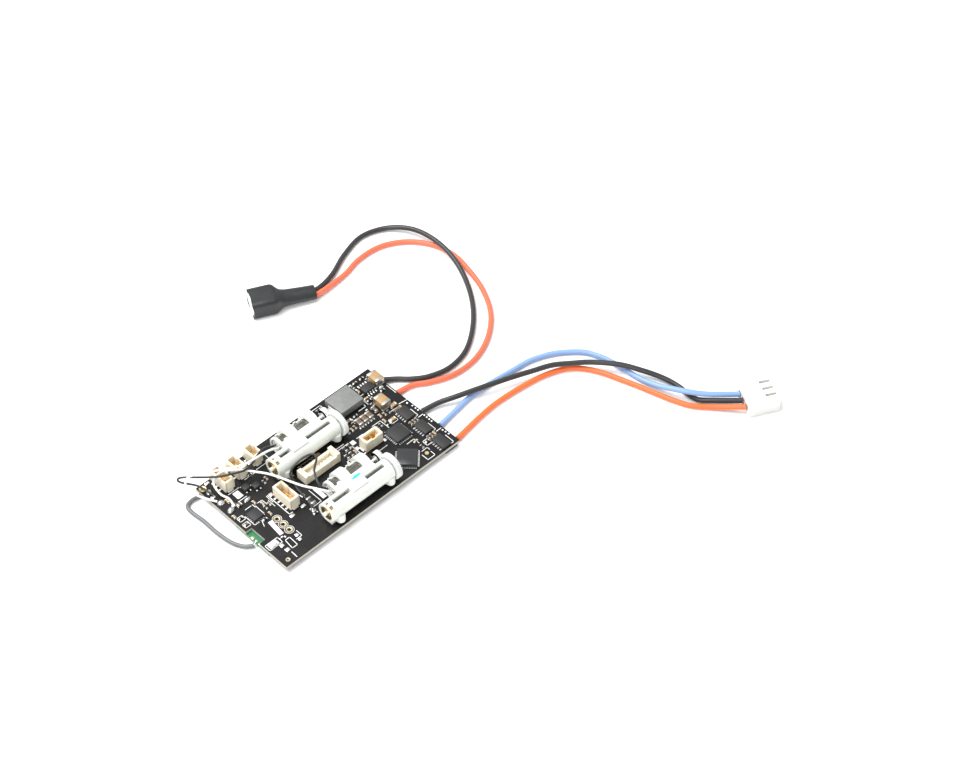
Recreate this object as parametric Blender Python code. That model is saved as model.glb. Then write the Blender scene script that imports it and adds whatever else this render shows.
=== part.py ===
"""Micro flight controller board with two on-board linear servos, its plugs and its leads.

Every length below is in millimetres and becomes metres where a shape is made.
The board's long side is X, its short side is Y, and the surface it rests on is Z = 0.
"""

import math

import bmesh
import bpy
from mathutils import Matrix, Vector

MM = 0.001
FIT = 0.04  # clearance between pieces that touch on the real board

# Board
BOARD_LENGTH = 50.0
BOARD_WIDTH = 29.8
BOARD_THICK = 0.8
BOARD_UNDER = 1.0  # height of the board's underside, which stands on its lower parts
BOARD_TOP = BOARD_UNDER + BOARD_THICK
EDGE_X = BOARD_LENGTH / 2
EDGE_Y = BOARD_WIDTH / 2
WINDOW_DEPTH = 1.6  # notch in the left edge that shows the radio board
WINDOW_Y = (-6.2, -1.7)
PAD_HOLES = [(-18.0, -3.7, 0.45), (-18.0, -5.7, 0.45), (-18.0, -7.7, 0.45)]
CORNER_HOLES = [(-23.45, -13.55, 0.4), (-24.0, 13.75, 0.4)]

# Wire-to-board sockets, all of the 1 mm pitch family
SOCKET_DEPTH = 2.6
SOCKET_HEIGHT = 3.0
SOCKET_WALL = 0.55
SOCKET_WELL = 2.3

# Linear servo, in its own frame: x along the lead screw, y across, h above the board
SERVO_Y = {"servo_1": 5.3, "servo_2": -11.95}
SLIDER_X = {"servo_1": -3.85, "servo_2": -2.2}
SCREW_H = 3.25
TUBE_RADIUS = 2.35
TUBE_BORE = 1.72
TUBE_X = (-11.2, 6.6)
SLOT_X = (-9.1, 5.3)
SLOT_WIDTH = 0.95
SLIDER_LENGTH = 4.4
MOTOR_H = 2.4
MOTOR_RADIUS = 1.93
MOTOR_X = (-5.35, 4.35)
CRADLE_X = (-6.2, 4.7)
CRADLE_RADIUS = 2.45
ARCHES = [(2.4, 4.7), (-3.6, -1.0), (-6.2, -5.4)]
GEAR_X = (6.95, 8.25)

# Gear train
MODULE = 0.13
SCREW_TEETH = 46
PINION_TEETH = 22
CENTRE_DISTANCE = MODULE * (SCREW_TEETH + PINION_TEETH) / 2 + 0.03
MOTOR_Y = math.sqrt(CENTRE_DISTANCE**2 - (SCREW_H - MOTOR_H) ** 2)
MESH_ANGLE = math.atan2(MOTOR_H - SCREW_H, MOTOR_Y)

# Leads
LEAD_DIAMETER = 1.25
COAX_DIAMETER = 0.95
SERVO_LEAD_DIAMETER = 0.5

PLUG_TURN = math.radians(-26.0)
BATTERY_PLUG = Vector((21.6, 47.4, 0.0))  # centre of the plug on the surface
MOTOR_PLUG_TURN = math.radians(-28.0)
MOTOR_PLUG = Vector((81.6, -52.6, 0.0))

PARTS = None
CUTTERS = None


def start_scene():
    global PARTS, CUTTERS
    for old in list(bpy.data.objects):
        bpy.data.objects.remove(old, do_unlink=True)
    PARTS = bpy.data.collections.new("flight_controller_board")
    CUTTERS = bpy.data.collections.new("cutters")
    CUTTERS.hide_render = True
    for collection in (PARTS, CUTTERS):
        bpy.context.scene.collection.children.link(collection)


def make_material(name, colour, roughness, metallic=0.0):
    material = bpy.data.materials.new(name)
    material.use_nodes = True
    shader = material.node_tree.nodes["Principled BSDF"]
    shader.inputs["Base Color"].default_value = (*colour, 1.0)
    shader.inputs["Roughness"].default_value = roughness
    shader.inputs["Metallic"].default_value = metallic
    return material


def finish(name, mesh, colour, roughness=0.5, metallic=0.0, smooth=False):
    """A node of the object, with a material of its own."""
    part = bpy.data.objects.new(name, mesh)
    PARTS.objects.link(part)
    mesh.materials.append(make_material(name, colour, roughness, metallic))
    if smooth:
        mesh.shade_smooth()
        mesh.set_sharp_from_angle(angle=math.radians(35))
    return part


def helper(name, mesh):
    """A cutter or a shape to be joined, which is not a node itself."""
    tool = bpy.data.objects.new(name, mesh)
    CUTTERS.objects.link(tool)
    tool.hide_render = True
    tool.display_type = "WIRE"
    return tool


def to_mesh(name, bm):
    bmesh.ops.recalc_face_normals(bm, faces=bm.faces)
    mesh = bpy.data.meshes.new(name)
    bm.to_mesh(mesh)
    bm.free()
    return mesh


def box_mesh(name, low, high, bevel=0.0, place=None):
    """A block between two corners in millimetres, with its upright and level edges rounded."""
    low, high = Vector(low), Vector(high)
    size = (high - low) * MM
    bm = bmesh.new()
    bmesh.ops.create_cube(bm, size=1.0)
    bmesh.ops.scale(bm, vec=size, verts=bm.verts)
    bmesh.ops.translate(bm, vec=(low + high) / 2 * MM, verts=bm.verts)
    if bevel:
        bmesh.ops.bevel(bm, geom=bm.edges[:], offset=bevel * MM, segments=2, affect="EDGES", profile=0.5)
    if place:
        bmesh.ops.transform(bm, matrix=place, verts=bm.verts)
    return to_mesh(name, bm)


def turned_mesh(name, profile, y, z, segments=28, axis="X"):
    """A profile of (along, radius) points in millimetres spun about an axis through (y, z) or (x, y)."""
    bm = bmesh.new()
    points = [bm.verts.new((along * MM, 0.0, radius * MM)) for along, radius in profile]
    edges = [bm.edges.new(pair) for pair in zip(points, points[1:])]
    if profile[0][1] > 0.0:
        edges.append(bm.edges.new((points[-1], points[0])))
    geometry = points + edges
    bmesh.ops.spin(bm, geom=geometry, cent=(0, 0, 0), axis=(1, 0, 0), angle=math.tau, steps=segments)
    bmesh.ops.remove_doubles(bm, verts=bm.verts, dist=1e-6)
    if axis == "X":
        bmesh.ops.translate(bm, vec=(0, y * MM, z * MM), verts=bm.verts)
    else:
        upright = Matrix.Rotation(-math.pi / 2, 4, "Y")
        bmesh.ops.transform(bm, matrix=upright, verts=bm.verts)
        bmesh.ops.translate(bm, vec=(y * MM, z * MM, 0), verts=bm.verts)
    return to_mesh(name, bm)


def drum_mesh(name, radius, ends, y, z, segments=28, axis="X"):
    start, end = ends
    return turned_mesh(name, [(start, 0.0), (start, radius), (end, radius), (end, 0.0)], y, z, segments, axis)


def gear_mesh(name, teeth, ends, y, z, first_angle):
    """A spur gear with straight-sided teeth, one of which points along first_angle in the YZ plane."""
    pitch_radius = MODULE * teeth / 2
    tip, root = pitch_radius + 0.11, pitch_radius - 0.15
    corners = [(root, -0.125), (tip, -0.05), (tip, 0.05), (root, 0.125)]
    bm = bmesh.new()
    outline = []
    for tooth in range(teeth):
        middle = first_angle + tooth * math.tau / teeth
        for radius, across in corners:
            angle = middle + across / radius
            spot = (ends[0], y + radius * math.cos(angle), z + radius * math.sin(angle))
            outline.append(bm.verts.new(Vector(spot) * MM))
    face = bm.faces.new(outline)
    grown = bmesh.ops.extrude_face_region(bm, geom=[face])
    moved = [item for item in grown["geom"] if isinstance(item, bmesh.types.BMVert)]
    bmesh.ops.translate(bm, vec=((ends[1] - ends[0]) * MM, 0, 0), verts=moved)
    return to_mesh(name, bm)


def alter(part, operation, *meshes):
    """Boolean steps on a node: each mesh is cut away from it or joined to it."""
    for mesh in meshes:
        step = part.modifiers.new(mesh.name, "BOOLEAN")
        step.operation = operation
        step.object = helper(mesh.name, mesh)
    return part


def smooth_route(points, spacing):
    """Evenly spaced points on a Catmull-Rom curve through the route's points."""
    route = [Vector(point) for point in points]
    route = [2 * route[0] - route[1]] + route + [2 * route[-1] - route[-2]]
    fine = []
    for p0, p1, p2, p3 in zip(route, route[1:], route[2:], route[3:]):
        for step in range(24):
            t = step / 24
            spot = 2 * p1 + (p2 - p0) * t + (2 * p0 - 5 * p1 + 4 * p2 - p3) * t**2
            fine.append((spot + (3 * p1 - p0 - 3 * p2 + p3) * t**3) / 2)
    fine.append(route[-2])
    total = sum((b - a).length for a, b in zip(fine, fine[1:]))
    count = max(4, round(total / spacing))
    chosen, walked = [fine[0]], 0.0
    for a, b in zip(fine, fine[1:]):
        walked += (b - a).length
        if walked >= len(chosen) * total / count - 1e-6 and len(chosen) < count:
            chosen.append(b)
    return chosen + [fine[-1]]


def lead(name, points, diameter, colour, roughness=0.45):
    """A wire as a curve tube along a smooth route, with filled ends."""
    curve = bpy.data.curves.new(name, "CURVE")
    curve.dimensions = "3D"
    curve.bevel_depth = diameter / 2 * MM
    curve.bevel_resolution = 2
    curve.use_fill_caps = True
    spline = curve.splines.new("POLY")
    spots = smooth_route(points, diameter * 2.2)
    spline.points.add(len(spots) - 1)
    for control, spot in zip(spline.points, spots):
        control.co = (*(spot * MM), 1.0)
    wire = bpy.data.objects.new(name, curve)
    PARTS.objects.link(wire)
    curve.materials.append(make_material(name, colour, roughness))
    return wire


def plate_mesh(name, outline, holes, z_low, z_high):
    """A flat outline with round holes, extruded: a 2D curve made into a mesh."""
    curve = bpy.data.curves.new(name, "CURVE")
    curve.dimensions = "2D"
    curve.fill_mode = "BOTH"
    curve.extrude = (z_high - z_low) / 2 * MM
    loops = [outline]
    for x, y, radius in holes:
        steps = [math.tau * step / 16 for step in range(16)]
        loops.append([(x + radius * math.cos(a), y + radius * math.sin(a)) for a in steps])
    for loop in loops:
        spline = curve.splines.new("POLY")
        spline.use_cyclic_u = True
        spline.points.add(len(loop) - 1)
        for control, (x, y) in zip(spline.points, loop):
            control.co = (x * MM, y * MM, 0.0, 1.0)
    drawn = bpy.data.objects.new(name + "_outline", curve)
    bpy.context.scene.collection.objects.link(drawn)
    graph = bpy.context.evaluated_depsgraph_get()
    mesh = bpy.data.meshes.new_from_object(drawn.evaluated_get(graph))
    bpy.data.objects.remove(drawn)
    bpy.data.curves.remove(curve)
    bm = bmesh.new()
    bm.from_mesh(mesh)
    bpy.data.meshes.remove(mesh)
    bmesh.ops.remove_doubles(bm, verts=bm.verts, dist=1e-6)
    bmesh.ops.translate(bm, vec=(0, 0, (z_low + z_high) / 2 * MM), verts=bm.verts)
    return to_mesh(name, bm)


def make_boards():
    notch_x = -EDGE_X + WINDOW_DEPTH
    outline = [
        (-EDGE_X, -EDGE_Y),
        (EDGE_X, -EDGE_Y),
        (EDGE_X, EDGE_Y),
        (-EDGE_X, EDGE_Y),
        (-EDGE_X, WINDOW_Y[1]),
        (notch_x, WINDOW_Y[1]),
        (notch_x, WINDOW_Y[0]),
        (-EDGE_X, WINDOW_Y[0]),
    ]
    holes = PAD_HOLES + CORNER_HOLES
    board = plate_mesh("circuit_board", outline, holes, BOARD_UNDER, BOARD_TOP)
    finish("circuit_board", board, (0.02, 0.021, 0.022), 0.35)
    radio_top = BOARD_UNDER - FIT
    radio = box_mesh("radio_board", (-24.95, -9.0, 0.36), (-13.6, 1.6, radio_top))
    finish("radio_board", radio, (0.02, 0.2, 0.08), 0.35)


def make_chips():
    """Bodies of the surface-mounted parts: name, centre, size, turn, height, colour."""
    black, tan, grey = (0.03, 0.03, 0.032), (0.55, 0.38, 0.2), (0.3, 0.31, 0.3)
    top = BOARD_TOP + FIT
    pieces = [
        ("power_inductor", (13.9, 10.4), (6.6, 5.8), 0, 2.0, grey, 0.2),
        ("input_capacitor_1", (23.6, 10.8), (2.4, 3.2), 0, 2.0, tan, 0.08),
        ("input_capacitor_2", (19.95, 4.6), (2.4, 3.2), 0, 2.0, tan, 0.08),
        ("battery_switch", (20.6, 10.2), (3.0, 2.2), 0, 1.0, black, 0.06),
        ("motor_driver_1", (21.7, -1.25), (2.6, 3.8), 0, 0.8, black, 0.05),
        ("motor_driver_2", (21.7, -7.0), (2.6, 3.8), 0, 0.8, black, 0.05),
        ("motor_driver_3", (21.6, -12.65), (2.6, 3.8), 0, 0.8, black, 0.05),
        ("motor_controller", (16.55, -4.35), (4.2, 4.2), 0, 0.8, black, 0.04),
        ("flight_processor", (13.1, -10.9), (4.6, 4.6), 45, 0.85, black, 0.04),
        ("gyro_chip", (-20.8, 0.07), (2.75, 2.75), 0, 0.75, black, 0.04),
        ("regulator_1", (-17.4, 7.2), (1.6, 1.5), 0, 0.9, grey, 0.05),
        ("regulator_2", (-15.5, 6.1), (1.6, 1.5), 0, 0.9, grey, 0.05),
        ("smoothing_capacitor_1", (12.4, 3.9), (1.25, 2.0), 0, 1.0, tan, 0.05),
        ("smoothing_capacitor_2", (13.9, 3.9), (1.25, 2.0), 0, 1.0, tan, 0.05),
        ("smoothing_capacitor_3", (15.4, 3.9), (1.25, 2.0), 0, 1.0, tan, 0.05),
        ("status_led", (-23.1, -8.5), (2.4, 1.2), 0, 0.6, (0.9, 0.9, 0.85), 0.08),
    ]
    for name, (x, y), (long, wide), degrees, height, colour, bevel in pieces:
        place = Matrix.Translation((x * MM, y * MM, top * MM)) @ Matrix.Rotation(math.radians(degrees), 4, "Z")
        body = box_mesh(name, (-long / 2, -wide / 2, 0), (long / 2, wide / 2, height), bevel, place)
        finish(name, body, colour, 0.45)
    under = BOARD_UNDER - FIT
    below = [
        ("low_side_driver_1", (22.9, -12.85), (3.4, 3.6), 0.0, under),
        ("low_side_driver_2", (20.6, 12.6), (3.4, 3.6), 0.0, under),
        ("radio_chip", (-18.6, -4.2), (4.0, 4.0), 0.0, 0.36 - FIT),
    ]
    for name, (x, y), (long, wide), low, high in below:
        corner, far = (x - long / 2, y - wide / 2, low), (x + long / 2, y + wide / 2, high)
        finish(name, box_mesh(name, corner, far, 0.05), black, 0.45)


def make_socket(name, x, y, length, turned):
    """An upright wire socket with an open well, its length along Y or, turned, along X."""
    long, wide = (length, SOCKET_DEPTH) if turned else (SOCKET_DEPTH, length)
    low = BOARD_TOP + FIT
    high = low + SOCKET_HEIGHT
    body = box_mesh(name, (x - long / 2, y - wide / 2, low), (x + long / 2, y + wide / 2, high))
    socket = finish(name, body, (0.82, 0.74, 0.56), 0.5)
    well_x, well_y = long / 2 - SOCKET_WALL, wide / 2 - SOCKET_WALL
    corner = (x - well_x, y - well_y, high - SOCKET_WELL)
    well = box_mesh(name + "_well", corner, (x + well_x, y + well_y, high + 1))
    alter(socket, "DIFFERENCE", well)


def make_sockets():
    make_socket("sensor_socket", -13.1, -1.18, 5.85, False)
    make_socket("rudder_socket", 10.5, -2.18, 4.8, True)
    make_socket("aileron_socket", -19.9, 12.05, 5.5, False)
    make_socket("flap_socket", -15.6, 12.4, 4.6, False)
    make_socket("aux_socket", -10.78, 12.7, 4.0, False)
    low = BOARD_TOP + FIT
    body = box_mesh("programming_socket", (-7.5, -1.2, low), (2.5, 1.9, low + 2.1))
    socket = finish("programming_socket", body, (0.82, 0.74, 0.56), 0.5)
    left_ear = box_mesh("programming_socket_left_ear", (-7.5, -1.2, low + 1.0), (-6.2, 1.9, low + 2.5))
    right_ear = box_mesh("programming_socket_right_ear", (1.3, -1.2, low + 1.0), (2.5, 1.9, low + 3.4))
    alter(socket, "UNION", left_ear, right_ear)
    well = box_mesh("programming_socket_well", (-6.0, -0.2, low + 0.9), (1.1, 0.9, low + 4.0))
    alter(socket, "DIFFERENCE", well)


def make_servo_frame(servo, y, base):
    """The moulded frame: screw tube, motor cradle with its straps, two feet and two screw lugs."""
    name = servo + "_frame"
    axis_z, motor_y, motor_z = base + SCREW_H, y + MOTOR_Y, base + MOTOR_H
    tube = drum_mesh(name, TUBE_RADIUS, TUBE_X, y, axis_z, 32)
    frame = finish(name, tube, (0.86, 0.87, 0.84), 0.4, smooth=True)
    far = motor_y + CRADLE_RADIUS
    foot = base + FIT
    joined = [
        box_mesh(name + "_deck", (CRADLE_X[0], y + 0.6, foot), (CRADLE_X[1], y + 3.5, base + 4.35)),
        box_mesh(name + "_shoulder", (4.5, y + 0.5, base + 1.2), (6.45, y + 2.5, base + 4.2)),
        box_mesh(name + "_cradle", (CRADLE_X[0], y + 2.0, foot), (CRADLE_X[1], far, motor_z)),
        box_mesh(name + "_wall", (CRADLE_X[0], far - 0.38, foot + 0.5), (CRADLE_X[1], far, base + 3.4)),
        box_mesh(name + "_left_foot", (-10.9, y - 1.3, foot), (-9.4, y + 1.3, base + 1.6)),
        box_mesh(name + "_right_foot", (5.4, y - 1.3, foot), (6.4, y + 1.3, base + 1.6)),
    ]
    for number, ends in enumerate(ARCHES):
        joined.append(drum_mesh(f"{name}_strap_{number}", CRADLE_RADIUS - 0.03, ends, motor_y, motor_z + 0.02, 28))
    lugs = [(5.65, y - 1.75), (-8.8, y - 1.9)]
    for number, (lug_x, lug_y) in enumerate(lugs):
        ends = (base + 0.8, base + 2.6)
        joined.append(drum_mesh(f"{name}_lug_{number}", 1.0, ends, lug_x, lug_y, 20, "Z"))
    alter(frame, "UNION", *joined)
    half_slot = SLOT_WIDTH / 2
    cut = [
        drum_mesh(name + "_bore", TUBE_BORE, (TUBE_X[0] - 1, 5.9), y, axis_z, 28),
        drum_mesh(name + "_journal", 0.55, (5.5, 7.2), y, axis_z, 16),
        box_mesh(name + "_slot", (SLOT_X[0], y - half_slot, axis_z), (SLOT_X[1], y + half_slot, axis_z + 3)),
        box_mesh(name + "_gap", (SLOT_X[0], y - 0.6, base - 0.3), (SLOT_X[1], y + 0.6, axis_z)),
        drum_mesh(name + "_can", MOTOR_RADIUS + 0.06, (-7.0, 5.5), motor_y, motor_z, 28),
    ]
    for number, degrees in enumerate((14.5, -27.0)):
        turn = Matrix.Rotation(math.radians(-degrees), 4, "X")
        place = Matrix.Translation((-10.35 * MM, y * MM, axis_z * MM)) @ turn
        cut.append(box_mesh(f"{name}_notch_{number}", (-0.35, -0.42, 1.2), (0.35, 0.42, 3.2), 0.0, place))
    for number, (lug_x, lug_y) in enumerate(lugs):
        ends = (base + 1.5, base + 3.2)
        cut.append(drum_mesh(f"{name}_lug_hole_{number}", 0.28, ends, lug_x, lug_y, 12, "Z"))
    alter(frame, "DIFFERENCE", *cut)


def make_slider(servo, y, base):
    """The nut on the lead screw, with a saddle on top of the tube and a wiper beneath."""
    name = servo + "_slider"
    axis_z = base + SCREW_H
    middle = SLIDER_X[servo]
    ends = (middle - SLIDER_LENGTH / 2, middle + SLIDER_LENGTH / 2)
    slider = finish(name, drum_mesh(name, 1.66, ends, y, axis_z, 24), (0.88, 0.89, 0.86), 0.4, smooth=True)
    neck = box_mesh(name + "_neck", (ends[0], y - 0.42, axis_z + 1.0), (ends[1], y + 0.42, axis_z + 2.5))
    saddle_ring = [(ends[0], 2.4), (ends[0], 2.68), (ends[1], 2.68), (ends[1], 2.4)]
    saddle = helper(name + "_saddle", turned_mesh(name + "_saddle", saddle_ring, y, axis_z, 40))
    trim = box_mesh(name + "_trim", (ends[0] - 1, y - 1.15, axis_z + 1.5), (ends[1] + 1, y + 1.15, axis_z + 3.5))
    alter(saddle, "INTERSECT", trim)
    alter(slider, "UNION", neck)
    step = slider.modifiers.new("saddle", "BOOLEAN")
    step.operation = "UNION"
    step.object = saddle
    alter(slider, "DIFFERENCE", drum_mesh(name + "_bore", 0.9, (ends[0] - 1, ends[1] + 1), y, axis_z, 20))
    wiper_name = servo + "_wiper"
    foot = box_mesh(wiper_name, (middle - 1.3, y - 0.35, base + 0.15), (middle + 1.3, y + 0.35, base + 0.27))
    wiper = finish(wiper_name, foot, (0.8, 0.6, 0.25), 0.3, 1.0)
    stem_top = axis_z - 1.66 - FIT
    stem = box_mesh(wiper_name + "_stem", (middle - 0.1, y - 0.35, base + 0.2), (middle + 0.1, y + 0.35, stem_top))
    alter(wiper, "UNION", stem)
    track = box_mesh(servo + "_track", (-9.2, y - 0.5, base + 0.02), (5.2, y + 0.5, base + 0.09))
    finish(servo + "_track", track, (0.03, 0.03, 0.03), 0.6)


def make_drive(servo, y, base):
    """Motor, pinion, lead screw with its gear, and the brass bush that carries the screw's free end."""
    axis_z, motor_y, motor_z = base + SCREW_H, y + MOTOR_Y, base + MOTOR_H
    steel = (0.42, 0.42, 0.4)
    can = [(MOTOR_X[0], 0.0), (MOTOR_X[0], MOTOR_RADIUS), (MOTOR_X[1], MOTOR_RADIUS), (MOTOR_X[1], 0.75)]
    can += [(MOTOR_X[1] + 0.45, 0.75), (MOTOR_X[1] + 0.45, 0.0)]
    motor = turned_mesh(servo + "_motor", can, motor_y, motor_z, 28)
    finish(servo + "_motor", motor, steel, 0.3, 1.0, smooth=True)
    cap_ends = (MOTOR_X[0] - 0.7, MOTOR_X[0] - FIT)
    cap = drum_mesh(servo + "_motor_cap", MOTOR_RADIUS - 0.05, cap_ends, motor_y, motor_z, 24)
    finish(servo + "_motor_cap", cap, (0.8, 0.8, 0.78), 0.5, smooth=True)

    screw = [(-11.85, 0.0), (-11.85, 0.45), (-9.6, 0.45), (-9.6, 0.8), (5.6, 0.8), (5.6, 0.45)]
    screw += [(GEAR_X[0] - 0.2, 0.45), (GEAR_X[0] - 0.2, 0.9), (GEAR_X[1] + 0.3, 0.9), (GEAR_X[1] + 0.3, 0.0)]
    name = servo + "_lead_screw"
    lead_screw = finish(name, turned_mesh(name, screw, y, axis_z, 20), (0.9, 0.91, 0.88), 0.4, smooth=True)
    alter(lead_screw, "UNION", gear_mesh(name + "_gear", SCREW_TEETH, GEAR_X, y, axis_z, MESH_ANGLE))

    name = servo + "_pinion"
    half_tooth = math.pi / PINION_TEETH
    shaft_start = MOTOR_X[1] + 0.45 + FIT
    shaft = drum_mesh(name, 0.35, (shaft_start, GEAR_X[1] + 0.2), motor_y, motor_z, 14)
    pinion = finish(name, shaft, (0.9, 0.9, 0.88), 0.4, smooth=True)
    toothed = gear_mesh(name + "_gear", PINION_TEETH, GEAR_X, motor_y, motor_z, MESH_ANGLE + math.pi + half_tooth)
    alter(pinion, "UNION", toothed)

    ring = [(-11.1, 0.5), (-11.1, 1.66), (-9.95, 1.66), (-9.95, 0.5)]
    bush = turned_mesh(servo + "_bush", ring, y, axis_z, 24)
    finish(servo + "_bush", bush, (0.8, 0.58, 0.22), 0.25, 1.0, smooth=True)


def make_servos():
    for servo, y in SERVO_Y.items():
        make_servo_frame(servo, y, BOARD_TOP)
        make_slider(servo, y, BOARD_TOP)
        make_drive(servo, y, BOARD_TOP)


def make_battery_lead():
    """Black and red wires to a two-way plug that sits in heat-shrink sleeve."""
    place = Matrix.Translation(BATTERY_PLUG * MM) @ Matrix.Rotation(PLUG_TURN, 4, "Z")
    housing = box_mesh("battery_plug", (-2.9, -2.8, 0.55), (2.6, 2.8, 4.2), 0.45, place)
    plug = finish("battery_plug", housing, (0.85, 0.86, 0.83), 0.45)
    for number, side in enumerate((-1.0, 1.0)):
        low, high = (-3.5, side - 0.65, 1.5), (1.4, side + 0.65, 3.3)
        alter(plug, "DIFFERENCE", box_mesh(f"battery_plug_way_{number}", low, high, 0.0, place))
        contact = box_mesh(f"battery_contact_{number + 1}", (-2.4, side - 0.3, 2.1), (1.2, side + 0.3, 2.7), 0, place)
        finish(f"battery_contact_{number + 1}", contact, (0.75, 0.75, 0.72), 0.25, 1.0)
    wall = 0.3
    rings = [
        (-3.1, 3.3, 2.35, 2.37),
        (2.9, 3.3, 2.35, 2.37),
        (4.4, 2.3, 1.7, 1.9),
        (7.0, 1.95, 1.45, 1.6),
        (12.6, 1.9, 1.3, 1.45),
    ]
    sleeve = finish("heat_shrink", sleeve_mesh("heat_shrink", rings, 0.0, place), (0.02, 0.021, 0.022), 0.45)
    bore = sleeve_mesh("heat_shrink_bore", [(-4.0, *rings[0][1:]), *rings[1:-1], (14.0, *rings[-1][1:])], wall, place)
    alter(sleeve, "DIFFERENCE", bore)
    far = [place @ (Vector(spot) * MM) / MM for spot in ((2.7, -0.72, 1.6), (2.7, 0.72, 1.6))]
    mid = [place @ (Vector(spot) * MM) / MM for spot in ((7.5, -0.70, 1.35), (7.5, 0.70, 1.35))]
    out = [place @ (Vector(spot) * MM) / MM for spot in ((12.6, -0.70, 1.2), (12.6, 0.70, 1.2))]
    height = LEAD_DIAMETER / 2 + 0.02
    black = [
        (25.6, 10.9, height + 0.1),
        (28.3, 8.8, height),
        (30.5, 6.6, height),
        (34.0, 4.3, height),
        (39.3, 3.0, height),
        (45.6, 4.3, height),
        (52.3, 8.9, height),
        (57.8, 14.9, height),
        (62.0, 22.1, height + 0.3),
        (64.0, 28.8, height + 1.2),
        (64.4, 35.9, height + 1.5),
        (63.2, 42.0, height + 1.0),
        (59.6, 46.8, height + 0.2),
        (53.6, 48.8, height),
        (46.6, 47.0, height),
        (39.6, 43.8, height + 0.1),
        out[1],
        mid[1],
        far[1],
    ]
    red = [
        (25.1, 5.7, height + 0.1),
        (29.4, 5.0, height),
        (32.9, 2.9, height),
        (38.0, 0.9, height),
        (44.6, 0.8, height),
        (51.3, 3.3, height),
        (57.6, 8.4, height),
        (61.9, 15.4, height),
        (64.3, 23.0, height),
        (65.2, 29.0, height),
        (63.9, 35.0, height),
        (60.2, 40.0, height),
        (54.6, 43.1, height),
        (48.0, 43.4, height),
        (41.6, 41.9, height),
        out[0],
        mid[0],
        far[0],
    ]
    lead("battery_wire_black", black, LEAD_DIAMETER, (0.03, 0.03, 0.032))
    lead("battery_wire_red", red, LEAD_DIAMETER, (0.85, 0.16, 0.06))


def sleeve_mesh(name, rings, inset, place):
    """A loft along x through rounded rings of (x, half width, half height, centre height)."""
    corner_steps = 4
    bm = bmesh.new()
    loops = []
    for x, half_wide, half_high, centre in rings:
        wide, high = half_wide - inset, half_high - inset
        radius = min(wide, high) * 0.45
        loop = []
        for quarter in range(4):
            side = 1 if quarter in (0, 3) else -1
            top = 1 if quarter in (0, 1) else -1
            for step in range(corner_steps + 1):
                angle = math.pi / 2 * (quarter + step / corner_steps)
                y = side * (wide - radius) + radius * math.cos(angle)
                z = centre + top * (high - radius) + radius * math.sin(angle)
                loop.append(bm.verts.new(Vector((x, y, z)) * MM))
        loops.append(loop)
    for first, second in zip(loops, loops[1:]):
        for index in range(len(first)):
            after = (index + 1) % len(first)
            bm.faces.new((first[index], first[after], second[after], second[index]))
    bm.faces.new(loops[0])
    bm.faces.new(loops[-1])
    bmesh.ops.transform(bm, matrix=place, verts=bm.verts)
    return to_mesh(name, bm)


def make_motor_lead():
    """Black, blue and orange wires to a three-way plug."""
    place = Matrix.Translation(MOTOR_PLUG * MM) @ Matrix.Rotation(MOTOR_PLUG_TURN, 4, "Z")
    housing = box_mesh("motor_plug", (-3.9, -3.8, 0.02), (3.6, 3.8, 4.3), 0.25, place)
    plug = finish("motor_plug", housing, (0.88, 0.89, 0.87), 0.4)
    for number, side in enumerate((-2.0, 0.0, 2.0)):
        way = box_mesh(f"motor_plug_way_{number}", (-4.5, side - 0.75, 1.0), (5.0, side + 0.75, 2.6), 0.0, place)
        window = box_mesh(f"motor_plug_window_{number}", (0.4, side - 0.35, 2.0), (3.0, side + 0.35, 5.0), 0.0, place)
        alter(plug, "DIFFERENCE", way, window)
    ends = [place @ (Vector((-3.95, side, 1.8)) * MM) / MM for side in (2.0, 0.0, -2.0)]
    height = LEAD_DIAMETER / 2 + 0.02
    black = [
        (25.6, -2.3, height + 0.1),
        (29.7, -3.3, height + 0.5),
        (33.1, -5.0, height + 1.1),
        (38.0, -7.0, height + 1.5),
        (41.7, -8.4, height + 1.6),
        (46.1, -10.0, height + 1.6),
        (50.8, -11.9, height + 1.6),
        (55.1, -13.8, height + 1.7),
        (58.7, -16.5, height + 1.7),
        (62.1, -19.5, height + 1.8),
        (65.9, -24.3, height + 1.9),
        (68.5, -28.6, height + 1.4),
        (70.9, -33.0, height + 0.5),
        (71.9, -37.0, height),
        (71.7, -40.4, height),
        (72.0, -43.0, height + 0.1),
        (74.2, -46.1, height + 0.6),
        ends[1],
    ]
    blue = [
        (25.6, -8.1, height + 0.1),
        (31.3, -7.3, height),
        (37.0, -6.6, height),
        (42.6, -6.9, height),
        (47.9, -7.5, height),
        (52.7, -8.0, height),
        (56.1, -9.0, height),
        (59.4, -10.6, height),
        (62.5, -13.0, height),
        (64.6, -15.3, height),
        (65.8, -18.0, height),
        (66.6, -21.1, height),
        (67.0, -24.5, height),
        (67.4, -29.5, height + 0.1),
        (68.1, -33.9, height + 0.8),
        (69.3, -37.9, height + 1.7),
        (71.2, -41.4, height + 1.9),
        (73.9, -44.5, height + 1.6),
        ends[0],
    ]
    orange = [
        (25.6, -13.6, height + 0.1),
        (34.2, -12.4, height),
        (40.1, -12.1, height),
        (47.9, -12.8, height),
        (53.2, -13.8, height),
        (57.8, -15.7, height),
        (60.4, -18.2, height),
        (62.5, -21.8, height),
        (64.1, -26.4, height),
        (65.6, -31.1, height),
        (66.9, -35.8, height),
        (68.1, -39.6, height),
        (69.7, -43.2, height),
        (72.6, -46.8, height + 0.2),
        ends[2],
    ]
    lead("motor_wire_black", black, LEAD_DIAMETER, (0.03, 0.03, 0.032))
    lead("motor_wire_blue", blue, LEAD_DIAMETER, (0.18, 0.38, 0.85))
    lead("motor_wire_orange", orange, LEAD_DIAMETER, (0.9, 0.22, 0.06))


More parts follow.
